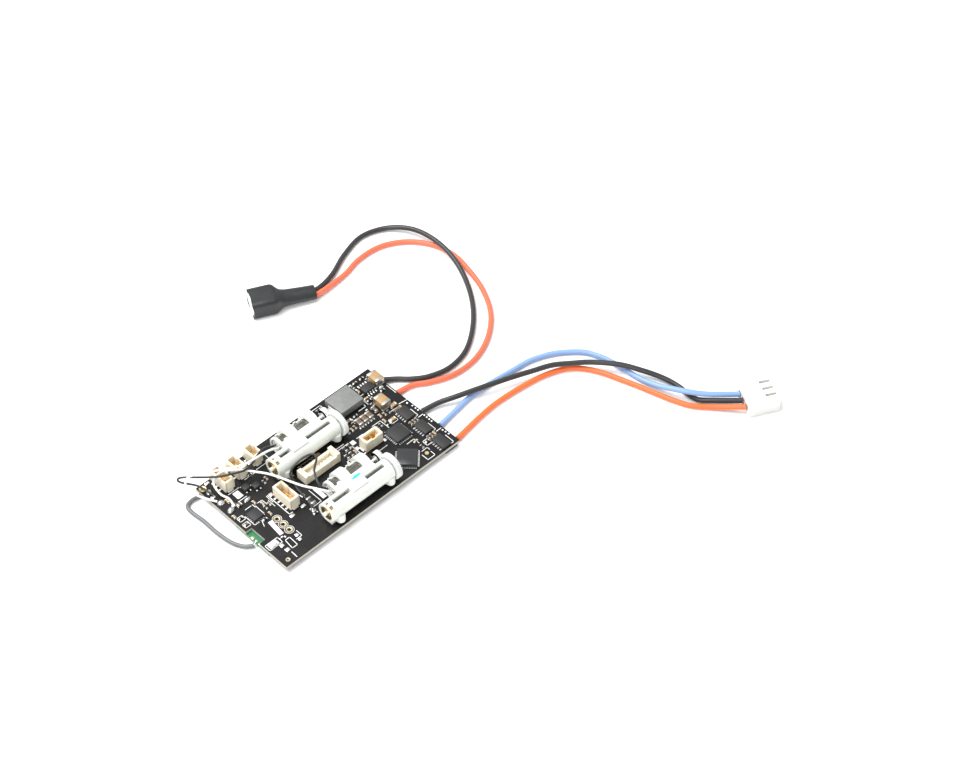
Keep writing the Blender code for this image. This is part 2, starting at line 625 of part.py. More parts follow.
def make_antenna():
    height = COAX_DIAMETER / 2 + 0.02
    route = [
        (-25.5, -5.0, height + 0.1),
        (-27.2, -3.6, height),
        (-28.4, -0.9, height),
        (-28.9, 3.1, height),
        (-28.9, 7.7, height),
        (-29.2, 10.9, height),
        (-28.9, 13.1, height),
        (-27.3, 13.8, height),
        (-24.9, 13.5, height),
        (-22.0, 13.2, height),
        (-19.5, 12.9, height),
    ]
    lead("antenna_coax", route, COAX_DIAMETER, (0.22, 0.23, 0.24))


def make_servo_leads():
    """Thin motor leads of the two servos, looped down to their pads at the board's left end."""
    base = BOARD_TOP
    cap_1 = SERVO_Y["servo_1"] + MOTOR_Y
    cap_2 = SERVO_Y["servo_2"] + MOTOR_Y
    first_black = [
        (-6.25, cap_1 + 0.7, base + 2.6),
        (-9.6, 10.7, base + 3.6),
        (-15.2, 8.6, base + 4.0),
        (-18.8, 9.7, base + 4.1),
        (-21.8, 11.6, base + 4.0),
        (-24.5, 14.9, base + 3.3),
        (-26.4, 17.3, base + 2.8),
        (-27.2, 18.0, base + 2.2),
        (-26.9, 17.2, base + 1.6),
        (-24.6, 14.2, base + 1.0),
        (-23.7, 10.6, base + 0.35),
    ]
    first_white = [
        (-6.25, cap_1 - 0.6, base + 2.8),
        (-9.3, 9.0, base + 4.4),
        (-15.8, 9.2, base + 5.2),
        (-21.0, 11.8, base + 5.3),
        (-24.0, 14.2, base + 4.7),
        (-25.9, 15.7, base + 3.8),
        (-26.9, 15.6, base + 2.6),
        (-26.9, 13.9, base + 1.5),
        (-26.0, 11.6, base + 0.8),
        (-24.2, 8.6, base + 0.35),
    ]
    second_white = [
        (-6.25, cap_2 - 0.5, base + 2.9),
        (-7.6, -8.2, base + 4.4),
        (-9.3, -6.2, base + 5.0),
        (-11.0, -3.4, base + 5.2),
        (-13.0, 3.0, base + 4.6),
        (-14.6, 7.2, base + 3.5),
        (-16.9, 10.2, base + 3.42),
        (-20.0, 12.0, base + 3.75),
        (-22.4, 11.7, base + 2.6),
        (-22.6, 9.4, base + 0.9),
        (-21.9, 7.4, base + 0.4),
        (-22.4, 5.0, base + 0.35),
    ]
    second_black = [
        (-6.25, cap_2 + 0.8, base + 2.6),
        (-7.5, -5.7, base + 4.2),
        (-6.1, -2.6, base + 4.9),
        (-3.3, -0.1, base + 4.9),
        (-3.3, 1.6, base + 4.7),
        (-5.8, 2.4, base + 4.2),
        (-8.2, 2.4, base + 3.2),
        (-9.2, 1.9, base + 2.2),
        (-9.0, 1.2, base + 1.2),
        (-9.6, -0.4, base + 0.45),
        (-9.9, -2.4, base + 0.35),
        (-10.2, -4.4, base + 0.35),
        (-10.6, -6.4, base + 0.35),
        (-10.9, -7.2, base + 0.35),
    ]
    black, white = (0.05, 0.05, 0.055), (0.86, 0.86, 0.84)
    lead("servo_1_wire_black", first_black, SERVO_LEAD_DIAMETER, black)
    lead("servo_1_wire_white", first_white, SERVO_LEAD_DIAMETER, white)
    lead("servo_2_wire_white", second_white, SERVO_LEAD_DIAMETER, white)
    lead("servo_2_wire_black", second_black, SERVO_LEAD_DIAMETER, black)


def main():
    start_scene()
    make_boards()
    make_chips()
    make_sockets()
    make_servos()
    make_battery_lead()
    make_motor_lead()
    make_antenna()
    make_servo_leads()


main()
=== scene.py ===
import math

import bmesh
import bpy
from mathutils import Matrix, Quaternion, Vector


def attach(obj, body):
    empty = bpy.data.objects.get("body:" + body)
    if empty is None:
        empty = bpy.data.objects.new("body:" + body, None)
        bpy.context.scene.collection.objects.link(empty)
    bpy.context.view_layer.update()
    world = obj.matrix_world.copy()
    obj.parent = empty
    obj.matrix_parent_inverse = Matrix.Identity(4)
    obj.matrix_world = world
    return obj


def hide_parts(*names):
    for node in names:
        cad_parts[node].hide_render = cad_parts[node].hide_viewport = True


# lengths below are in millimetres on the board, and become metres in makePiece
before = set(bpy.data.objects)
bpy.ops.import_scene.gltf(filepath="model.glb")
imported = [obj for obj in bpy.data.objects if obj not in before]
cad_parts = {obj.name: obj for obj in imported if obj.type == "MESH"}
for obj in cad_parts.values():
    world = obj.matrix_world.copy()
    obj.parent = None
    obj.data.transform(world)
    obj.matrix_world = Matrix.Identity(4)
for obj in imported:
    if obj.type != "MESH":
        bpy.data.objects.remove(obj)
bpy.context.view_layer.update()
mm = 0.001
boardTop = 1.8


def aimCamera():
    view = dict(place=(-185.21, -237.09, 355.40), target=(40.97, -5.0, 0.0), lens=80.0, roll=-0.155)
    data = bpy.data.cameras.new("benchCamera")
    data.lens = view["lens"]
    data.sensor_width = 36.0
    data.clip_start = 0.01
    camera = bpy.data.objects.new("benchCamera", data)
    bpy.context.scene.collection.objects.link(camera)
    place = Vector(view["place"]) * mm
    camera.location = place
    facing = (Vector(view["target"]) * mm - place).to_track_quat("-Z", "Y")
    camera.rotation_mode = "QUATERNION"
    camera.rotation_quaternion = facing @ Quaternion((0, 0, 1), math.radians(view["roll"]))
    bpy.context.scene.camera = camera


class Socket:
    # wraps a node's output, so that sums on it add Math nodes
    def __init__(self, finish, link):
        self.finish = finish
        self.link = link

    def sum(self, operation, *terms):
        made = self.finish.node("ShaderNodeMath", {"operation": operation}, dict(enumerate(terms)))
        return Socket(self.finish, made.outputs[0])

    def __add__(self, other):
        return self.sum("ADD", self, other)

    def __radd__(self, other):
        return self.sum("ADD", other, self)

    def __sub__(self, other):
        return self.sum("SUBTRACT", self, other)

    def __rsub__(self, other):
        return self.sum("SUBTRACT", other, self)

    def __mul__(self, other):
        return self.sum("MULTIPLY", self, other)

    def __rmul__(self, other):
        return self.sum("MULTIPLY", other, self)

    def above(self, edge, soft):
        # 0 below the edge and 1 above it, over a soft width
        made = self.finish.node(
            "ShaderNodeMapRange",
            {"interpolation_type": "SMOOTHSTEP"},
            {"Value": self, "From Min": edge - soft / 2, "From Max": edge + soft / 2},
        )
        return Socket(self.finish, made.outputs["Result"])


class Finish:
    def __init__(self, name, **constants):
        self.material = bpy.data.materials.new(name)
        self.material.use_nodes = True
        self.tree = self.material.node_tree
        self.shader = self.tree.nodes["Principled BSDF"]
        for socket, value in constants.items():
            self.shader.inputs[socket.replace("_", " ")].default_value = value
        coordinates = self.node("ShaderNodeTexCoord")
        self.point = Socket(self, coordinates.outputs["Object"])

    def node(self, kind, settings=None, inputs=None):
        made = self.tree.nodes.new(kind)
        for key, value in (settings or {}).items():
            setattr(made, key, value)
        for key, value in (inputs or {}).items():
            self.feed(made.inputs[key], value)
        return made

    def feed(self, socket, value):
        if isinstance(value, Socket):
            self.tree.links.new(value.link, socket)
        elif value is not None:
            socket.default_value = value

    def set(self, **inputs):
        for key, value in inputs.items():
            self.feed(self.shader.inputs[key.replace("_", " ")], value)
        return self

    def axis(self, letter):
        split = self.node("ShaderNodeSeparateXYZ", {}, {0: self.point})
        return Socket(self, split.outputs[letter])

    def stretched(self, scale, turn=(0, 0, 0)):
        made = self.node("ShaderNodeMapping", {}, {"Vector": self.point, "Scale": scale, "Rotation": turn})
        return Socket(self, made.outputs[0])

    def noise(self, size, detail=2.0, rough=0.5, at=None):
        # size is the width of one blotch in millimetres
        made = self.node(
            "ShaderNodeTexNoise",
            {},
            {"Vector": at or self.point, "Scale": 1000.0 / size, "Detail": detail, "Roughness": rough},
        )
        return Socket(self, made.outputs["Fac"])

    def cells(self, size, metric="EUCLIDEAN", at=None):
        inputs = {"Vector": at or self.point, "Scale": 1000.0 / size}
        made = self.node("ShaderNodeTexVoronoi", {"distance": metric}, inputs)
        return Socket(self, made.outputs["Distance"])

    def mix(self, first, second, factor):
        made = self.node("ShaderNodeMix", {"data_type": "RGBA"}, {"Factor": factor})
        for index, colour in ((6, first), (7, second)):
            if isinstance(colour, Socket):
                self.feed(made.inputs[index], colour)
            else:
                made.inputs[index].default_value = (*colour, 1.0)
        return Socket(self, made.outputs[2])

    def bump(self, height, depth, strength=1.0, under=None):
        # depth in millimetres for a height of 1
        made = self.node("ShaderNodeBump", {}, {"Height": height, "Distance": depth * mm, "Strength": strength})
        if under:
            self.feed(made.inputs["Normal"], under)
        return Socket(self, made.outputs[0])


def tint(colour, share):
    return tuple(min(1.0, channel * share) for channel in colour)


def plasticFinish(name, colour, roughness, grain=0.35, depth=0.006, glow=0.0, coat=0.0):
    # moulded plastic: slow drift in tone, fine orange-peel, and a few scuffs
    finish = Finish(name, IOR=1.5, Coat_Weight=coat, Coat_Roughness=0.2)
    if glow:
        finish.shader.inputs["Subsurface Weight"].default_value = glow
        finish.shader.inputs["Subsurface Scale"].default_value = 0.0009
        finish.shader.inputs["Subsurface Radius"].default_value = (1.0, 0.85, 0.6)
    drift = finish.noise(3.0, 3.0)
    peel = finish.noise(grain, 4.0, 0.6)
    scuff = finish.noise(0.9, 5.0, 0.7).above(0.62, 0.1)
    base = finish.mix(tint(colour, 0.9), tint(colour, 1.06), drift)
    base = finish.mix(base, tint(colour, 0.8), scuff * 0.25)
    finish.set(Base_Color=base, Roughness=peel * 0.14 + (roughness - 0.07) + scuff * 0.08)
    finish.set(Normal=finish.bump(peel, depth, 0.6))
    return finish.material


def epoxyFinish(name, colour, roughness):
    # moulded chip body: filler grains, faint sheen in patches
    finish = Finish(name, IOR=1.42)
    grains = finish.noise(0.07, 2.0, 0.7)
    patch = finish.noise(1.6, 3.0)
    specks = finish.cells(0.22).above(0.08, 0.06)
    base = finish.mix(tint(colour, 1.9), colour, specks)
    base = finish.mix(base, tint(colour, 1.5), patch * 0.5)
    finish.set(Base_Color=base, Roughness=patch * 0.2 + (roughness - 0.1))
    finish.set(Normal=finish.bump(grains, 0.008, 0.7))
    return finish.material


def metalFinish(name, colour, roughness, blotch=0.5, depth=0.01, tarnish=None):
    finish = Finish(name, Metallic=1.0)
    ripple = finish.noise(blotch, 3.0)
    fine = finish.noise(blotch / 5, 2.0)
    base = finish.mix(tint(colour, 0.78), tint(colour, 1.1), ripple)
    if tarnish:
        base = finish.mix(base, tarnish, finish.noise(blotch * 1.6, 4.0).above(0.58, 0.18) * 0.7)
    finish.set(Base_Color=base, Roughness=fine * 0.2 + (roughness - 0.1))
    finish.set(Normal=finish.bump(ripple, depth, 0.5))
    return finish.material


def canFinish():
    # drawn steel can: fine rings round its length, and a soft tarnish
    finish = Finish("drawnSteel", Metallic=1.0, Anisotropic=0.4)
    rings = finish.noise(0.16, 3.0, 0.6, at=finish.stretched((1.0, 0.03, 0.03)))
    blotch = finish.noise(1.2, 4.0)
    base = finish.mix((0.2, 0.19, 0.17), (0.3, 0.29, 0.265), rings)
    base = finish.mix(base, (0.12, 0.1, 0.08), blotch.above(0.55, 0.25) * 0.6)
    finish.set(Base_Color=base, Roughness=rings * 0.1 + 0.2, Normal=finish.bump(rings, 0.002, 0.4))
    return finish.material


def boardFinish():
    # black solder mask with covered copper just showing, over a pale glass-fibre edge
    finish = Finish("solderMask", IOR=1.32)
    height = finish.axis("Z")
    masked = height.above(1.765 * mm, 0.02 * mm) + (1 - height.above(1.035 * mm, 0.02 * mm))
    flat = finish.stretched((1.0, 1.0, 0.0))
    turned = finish.stretched((1.0, 1.0, 0.0), (0, 0, math.pi / 4))
    pours = finish.noise(4.0, 0.0, at=flat).above(0.5, 0.01) * 0.6
    runs = finish.cells(1.1, "CHEBYCHEV", at=turned)
    runs = runs.above(0.40, 0.03) - runs.above(0.47, 0.03)
    vias = 1 - finish.cells(2.3, at=flat).above(0.07, 0.02)
    copper = pours + runs * 0.5 + vias
    dust = finish.noise(0.12, 3.0, 0.7).above(0.7, 0.06)
    mask = finish.mix((0.0065, 0.0062, 0.0068), (0.0105, 0.0098, 0.0094), pours + runs * 0.4)
    mask = finish.mix(mask, (0.09, 0.08, 0.07), vias * 0.35 + dust * 0.12)
    weave = finish.noise(0.16, 2.0, 0.6, at=finish.stretched((0.25, 0.25, 3.0)))
    glass = finish.mix((0.3, 0.285, 0.22), (0.6, 0.585, 0.5), weave)
    finish.set(Base_Color=finish.mix(glass, mask, masked))
    finish.set(Roughness=0.6 - masked * 0.2 + dust * 0.2)
    finish.set(Normal=finish.bump(copper + dust * 0.3, 0.018, 0.5))
    return finish.material


def inkFinish():
    finish = Finish("legendInk", IOR=1.45)
    worn = finish.noise(0.3, 4.0, 0.7)
    finish.set(Base_Color=finish.mix((0.62, 0.62, 0.6), (0.9, 0.9, 0.89), worn.above(0.42, 0.25)))
    finish.set(Roughness=worn * 0.2 + 0.45, Normal=finish.bump(worn, 0.004, 0.6))
    return finish.material


def ceramicFinish(name, colour):
    finish = Finish(name, IOR=1.6)
    grain = finish.noise(0.1, 3.0, 0.7)
    layer = finish.noise(0.9, 2.0)
    base = finish.mix(tint(colour, 0.72), tint(colour, 1.12), layer)
    finish.set(Base_Color=finish.mix(base, tint(colour, 0.6), grain.above(0.6, 0.12) * 0.35))
    finish.set(Roughness=grain * 0.2 + 0.3, Normal=finish.bump(grain, 0.005, 0.6))
    return finish.material


def jacketFinish(name, colour, roughness=0.38):
    # soft wire jacket: lengthwise drift, print-free, with fine dull flecks
    finish = Finish(name, IOR=1.5, Sheen_Weight=0.1)
    drift = finish.noise(6.0, 2.0)
    flecks = finish.noise(0.25, 3.0, 0.7)
    base = finish.mix(tint(colour, 0.86), tint(colour, 1.08), drift)
    base = finish.mix(base, tint(colour, 0.7), flecks.above(0.62, 0.1) * 0.3)
    finish.set(Base_Color=base, Roughness=flecks * 0.16 + (roughness - 0.08))
    finish.set(Normal=finish.bump(flecks, 0.006, 0.5))
    return finish.material


def shrinkFinish():
    finish = Finish("shrinkSleeve", IOR=1.5)
    wrinkle = finish.noise(1.4, 3.0, 0.6, at=finish.stretched((0.5, 1.0, 1.4)))
    fine = finish.noise(0.2, 3.0)
    finish.set(Base_Color=finish.mix((0.009, 0.0105, 0.011), (0.021, 0.023, 0.0245), wrinkle))
    finish.set(Roughness=wrinkle * 0.2 + fine * 0.1 + 0.28)
    finish.set(Normal=finish.bump(wrinkle, 0.12, 0.5, under=finish.bump(fine, 0.006, 0.6)))
    return finish.material


def floorFinish():
    finish = Finish("whiteAcrylic", IOR=1.49)
    haze = finish.noise(60.0, 2.0)
    finish.set(Base_Color=finish.mix((0.93, 0.93, 0.93), (0.97, 0.97, 0.97), haze))
    finish.set(Roughness=haze * 0.04 + 0.16)
    return finish.material


finishes = {}


def mixFinishes():
    white = (0.76, 0.785, 0.735)
    finishes.update(
        board=boardFinish(),
        ink=inkFinish(),
        servoPlastic=plasticFinish("servoNylon", white, 0.34, 0.3, 0.006, glow=0.12),
        gearPlastic=plasticFinish("gearAcetal", (0.82, 0.83, 0.81), 0.3, 0.22, 0.004, glow=0.15),
        cream=plasticFinish("creamNylon", (0.84, 0.765, 0.6), 0.42, 0.2, 0.006, glow=0.15),
        plugWhite=plasticFinish("plugNylon", (0.8, 0.8, 0.78), 0.36, 0.3, 0.006, glow=0.15),
        epoxy=epoxyFinish("chipEpoxy", (0.022, 0.022, 0.023), 0.5),
        epoxyGloss=epoxyFinish("polishedEpoxy", (0.03, 0.033, 0.034), 0.24),
        resistor=epoxyFinish("resistorGlaze", (0.02, 0.02, 0.022), 0.3),
        tin=metalFinish("tinPlate", (0.86, 0.86, 0.84), 0.34, 0.35, 0.012),
        endTin=metalFinish("endTin", (0.6, 0.585, 0.54), 0.38, 0.35, 0.012, (0.4, 0.36, 0.3)),
        solder=metalFinish("solder", (0.74, 0.74, 0.73), 0.24, 0.7, 0.04),
        dullGold=metalFinish("agedGold", (0.56, 0.47, 0.34), 0.45, 0.4, 0.01, (0.2, 0.15, 0.1)),
        gold=metalFinish("padGold", (0.86, 0.68, 0.36), 0.3, 0.4, 0.01),
        brass=metalFinish("bushBrass", (0.78, 0.55, 0.2), 0.26, 0.3, 0.008, (0.3, 0.17, 0.06)),
        can=canFinish(),
        tan=ceramicFinish("tanCeramic", (0.43, 0.265, 0.11)),
        brown=ceramicFinish("brownCeramic", (0.13, 0.082, 0.05)),
        ferrite=ceramicFinish("pressedFerrite", (0.2, 0.205, 0.2)),
        green=plasticFinish("greenMask", (0.01, 0.17, 0.07), 0.34, 0.3, 0.006, coat=0.3),
        # the sockets' cream nylon made darker and warmer: painted shade inside their wells
        amber=plasticFinish("wellShadeNylon", (0.74, 0.42, 0.13), 0.4, 0.2, 0.006, glow=0.2),
        teal=plasticFinish("tealPaint", (0.02, 0.5, 0.43), 0.4, 0.4, 0.03),
        lens=plasticFinish("lightLens", (0.9, 0.9, 0.84), 0.22, 0.4, 0.004, glow=0.3),
        # black of the servos' carbon tracks, also used as painted shade in the plug's contact cavities and the bush's
        # pockets
        track=plasticFinish("carbonTrackAndShade", (0.02, 0.02, 0.02), 0.6),
        wireBlack=jacketFinish("blackJacket", (0.022, 0.022, 0.023)),
        wireRed=jacketFinish("redJacket", (0.84, 0.15, 0.07)),
        wireOrange=jacketFinish("orangeJacket", (0.88, 0.15, 0.03)),
        wireBlue=jacketFinish("blueJacket", (0.23, 0.38, 0.69)),
        wireWhite=jacketFinish("whiteJacket", (0.85, 0.85, 0.82)),
        wireGrey=jacketFinish("greyJacket", (0.14, 0.145, 0.15), 0.3),
        shrink=shrinkFinish(),
        floor=floorFinish(),
    )


def addBlock(bm, low, high, turn=0.0, about=None, bevel=0.0, segments=2, top=1.0):
    # a block between two corners, turned about a point, with its edges rounded; top tapers it
    verts = bmesh.ops.create_cube(bm, size=1.0)["verts"]
    low, high = Vector(low), Vector(high)
    for vert in verts:
        if vert.co.z > 0 and top != 1.0:
            vert.co.x *= top
            vert.co.y *= top
    bmesh.ops.scale(bm, vec=high - low, verts=verts)
    bmesh.ops.translate(bm, vec=(low + high) / 2, verts=verts)
    if bevel:
        edges = list({edge for vert in verts for edge in vert.link_edges})
        made = bmesh.ops.bevel(
            bm, geom=edges, offset=bevel, segments=segments, affect="EDGES", profile=0.5, material=-1
        )
        verts = list({vert for face in made["faces"] for vert in face.verts} | {v for v in verts if v.is_valid})
    if turn:
        centre = Vector(about) if about else (low + high) / 2
        spin = Matrix.Translation(centre) @ Matrix.Rotation(math.radians(turn), 4, "Z") @ Matrix.Translation(-centre)
        bmesh.ops.transform(bm, matrix=spin, verts=verts)
    return verts


def addSlab(bm, spot, size, low, high, turn=0.0, bevel=0.0, segments=2):
    # a block about a spot on the board, turned on it
    x, y = spot
    long, wide = size[0] / 2, size[1] / 2
    return addBlock(bm, (x - long, y - wide, low), (x + long, y + wide, high), turn, (x, y, 0), bevel, segments)


def drawOut(bm, face, by):
    grown = bmesh.ops.extrude_face_region(bm, geom=[face])["geom"]
    far = [item for item in grown if isinstance(item, bmesh.types.BMVert)]
    bmesh.ops.translate(bm, vec=by, verts=far)
    return far


def addTurned(bm, profile, centre, axis="X", steps=40):
    # (along, radius) points spun round an axis: a ring or a solid
    spots = [bm.verts.new((along, 0.0, radius)) for along, radius in profile]
    edges = [bm.edges.new(pair) for pair in zip(spots, spots[1:])]
    if profile[0][1] > 0.0:
        edges.append(bm.edges.new((spots[-1], spots[0])))
    before = set(bm.verts) - set(spots)
    bmesh.ops.spin(
        bm, geom=spots + edges, cent=(0, 0, 0), axis=(1, 0, 0), angle=math.tau, steps=steps, use_merge=True
    )
    verts = [vert for vert in bm.verts if vert not in before]
    bmesh.ops.remove_doubles(bm, verts=verts, dist=1e-4)
    verts = [vert for vert in bm.verts if vert not in before]
    if axis == "Z":
        bmesh.ops.rotate(bm, cent=(0, 0, 0), matrix=Matrix.Rotation(-math.pi / 2, 3, "Y"), verts=verts)
    bmesh.ops.translate(bm, vec=centre, verts=verts)
    return verts


def makePiece(name, bm, finish, body="board", smooth=35.0, soften=0.0, stands=(), segments=2):
    # smooth is the angle in degrees below which edges are shaded smooth, soften a live bevel's width
    bmesh.ops.recalc_face_normals(bm, faces=bm.faces)
    bmesh.ops.scale(bm, vec=(mm, mm, mm), verts=bm.verts)
    mesh = bpy.data.meshes.new(name)
    bm.to_mesh(mesh)
    bm.free()
    piece = bpy.data.objects.new(name, mesh)
    bpy.context.scene.collection.objects.link(piece)
    mesh.materials.append(finishes[finish])
    if smooth:
        mesh.shade_smooth()
        mesh.set_sharp_from_angle(angle=math.radians(smooth))
    if soften:
        edge = piece.modifiers.new("softEdges", "BEVEL")
        edge.width = soften * mm
        edge.segments = segments
        edge.limit_method = "ANGLE"
        edge.angle_limit = math.radians(40)
        edge.harden_normals = False
    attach(piece, body)
    if stands:
        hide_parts(*stands)
    return piece


def refinish(node, finish):
    # a CAD node kept as it is, with a better material
    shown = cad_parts[node]
    for slot in shown.material_slots:
        slot.material = finishes[finish]


def smoothRoute(points, spacing):
    # evenly spaced points on one smooth curve through the route
    route = [Vector(point) for point in points]
    route = [2 * route[0] - route[1]] + route + [2 * route[-1] - route[-2]]
    fine = []
    for before, here, there, after in zip(route, route[1:], route[2:], route[3:]):
        for step in range(24):
            t = step / 24
            spot = 2 * here + (there - before) * t + (2 * before - 5 * here + 4 * there - after) * t**2
            fine.append((spot + (3 * here - before - 3 * there + after) * t**3) / 2)
    fine.append(route[-2])
    total = sum((b - a).length for a, b in zip(fine, fine[1:]))
    count = max(4, round(total / spacing))
    chosen, walked = [fine[0]], 0.0
    for a, b in zip(fine, fine[1:]):
        walked += (b - a).length
        if walked >= len(chosen) * total / count - 1e-6 and len(chosen) < count:
            chosen.append(b)
    return chosen + [fine[-1]], total


def makeCord(name, points, diameter, finish, node):
    spots, total = smoothRoute(points, diameter * 0.8)
    curve = bpy.data.curves.new(name, "CURVE")
    curve.dimensions = "3D"
    curve.bevel_depth = diameter / 2 * mm
    curve.bevel_resolution = 6
    curve.use_fill_caps = True
    spline = curve.splines.new("POLY")
    spline.points.add(len(spots) - 1)
    for control, spot in zip(spline.points, spots):
        control.co = (*(spot * mm), 1.0)
    curve.materials.append(finishes[finish])
    cord = bpy.data.objects.new(name, curve)
    bpy.context.scene.collection.objects.link(cord)
    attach(cord, "board")
    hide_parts(node)
    [c * mm for c in points[0]]
    max(total, 30.0) * mm
    print(f"  {name}: {total:.1f} mm")
    return cord


def plugPlace(spot, degrees):
    return Matrix.Translation(Vector(spot)) @ Matrix.Rotation(math.radians(degrees), 4, "Z")


batteryPlug = dict(place=(21.6, 47.4, 0.0), turn=-26.0)
motorPlug = dict(place=(81.6, -52.6, 0.0), turn=-28.0)
wire = dict(diameter=1.25, height=0.645)


sleeve = dict(
    wall=0.3, steps=48,
    # along the plug, half width, half height, centre height, squareness
    rings=[
        (-3.1, 3.3, 2.3, 2.37, 7.0), (-1.0, 3.3, 2.3, 2.37, 7.0), (2.3, 3.3, 2.3, 2.37, 7.0),
        (2.9, 3.18, 2.25, 2.36, 6.0), (3.4, 2.85, 2.1, 2.28, 4.5), (3.9, 2.5, 1.93, 2.12, 3.2),
        (4.5, 2.27, 1.8, 1.98, 2.5), (5.6, 2.14, 1.7, 1.86, 2.2), (7.5, 2.08, 1.62, 1.76, 2.1),
        (9.5, 2.04, 1.55, 1.66, 2.0), (12.2, 1.98, 1.45, 1.53, 2.0), (12.6, 1.95, 1.42, 1.49, 2.0),
    ],
)


def buildSleeve():
    # shrunk tube: square round the plug, drawn in to an oval round the wires, with a hollowed mouth
    bm = bmesh.new()
    rows = []
    for index, (along, wide, high, middle, square) in enumerate(sleeve["rings"]):
        row = []
        for step in range(sleeve["steps"]):
            angle = math.tau * (step + 0.5) / sleeve["steps"]
            c, s = math.cos(angle), math.sin(angle)
            reach = (abs(c) ** square + abs(s) ** square) ** (-1 / square)
            hollow = 0.35 * (1 - abs(c * s * reach * reach)) if index == 0 else 0.0
            row.append(bm.verts.new((along + hollow, wide * c * reach, middle + high * s * reach)))
        rows.append(row)
    for here, there in zip(rows, rows[1:]):
        for step in range(sleeve["steps"]):
            after = (step + 1) % sleeve["steps"]
            bm.faces.new((here[step], here[after], there[after], there[step]))
    bmesh.ops.recalc_face_normals(bm, faces=bm.faces)
    lean = sum(face.normal.y * face.calc_center_median().y for face in bm.faces)
    bmesh.ops.solidify(bm, geom=bm.faces[:], thickness=sleeve["wall"] if lean > 0 else -sleeve["wall"])
    bmesh.ops.transform(bm, matrix=plugPlace(batteryPlug["place"], batteryPlug["turn"]), verts=bm.verts)
    return makePiece("shrinkSleeve", bm, "shrink", smooth=50.0, stands=["heat_shrink"])


def buildPlugs():
    for node in ("battery_plug", "motor_plug"):
        refinish(node, "plugWhite")
    for node in ("battery_contact_1", "battery_contact_2"):
        refinish(node, "tin")
    # black blocks in the plug's two contact cavities: painted shade inside them
    cavityShade = bmesh.new()
    for side in (-1.0, 1.0):
        addBlock(cavityShade, (-1.9, side - 0.6, 1.55), (1.35, side + 0.6, 3.25))
    bmesh.ops.transform(cavityShade, matrix=plugPlace(batteryPlug["place"], batteryPlug["turn"]), verts=cavityShade.verts)
    return [makePiece("plugCavityShade", cavityShade, "track", smooth=0), buildSleeve()]


def lifted(base, points):
    # (x, y) or (x, y, lift) points, raised from the height that they are counted from
    return [(point[0], point[1], base + point[2] if len(point) > 2 else base) for point in points]


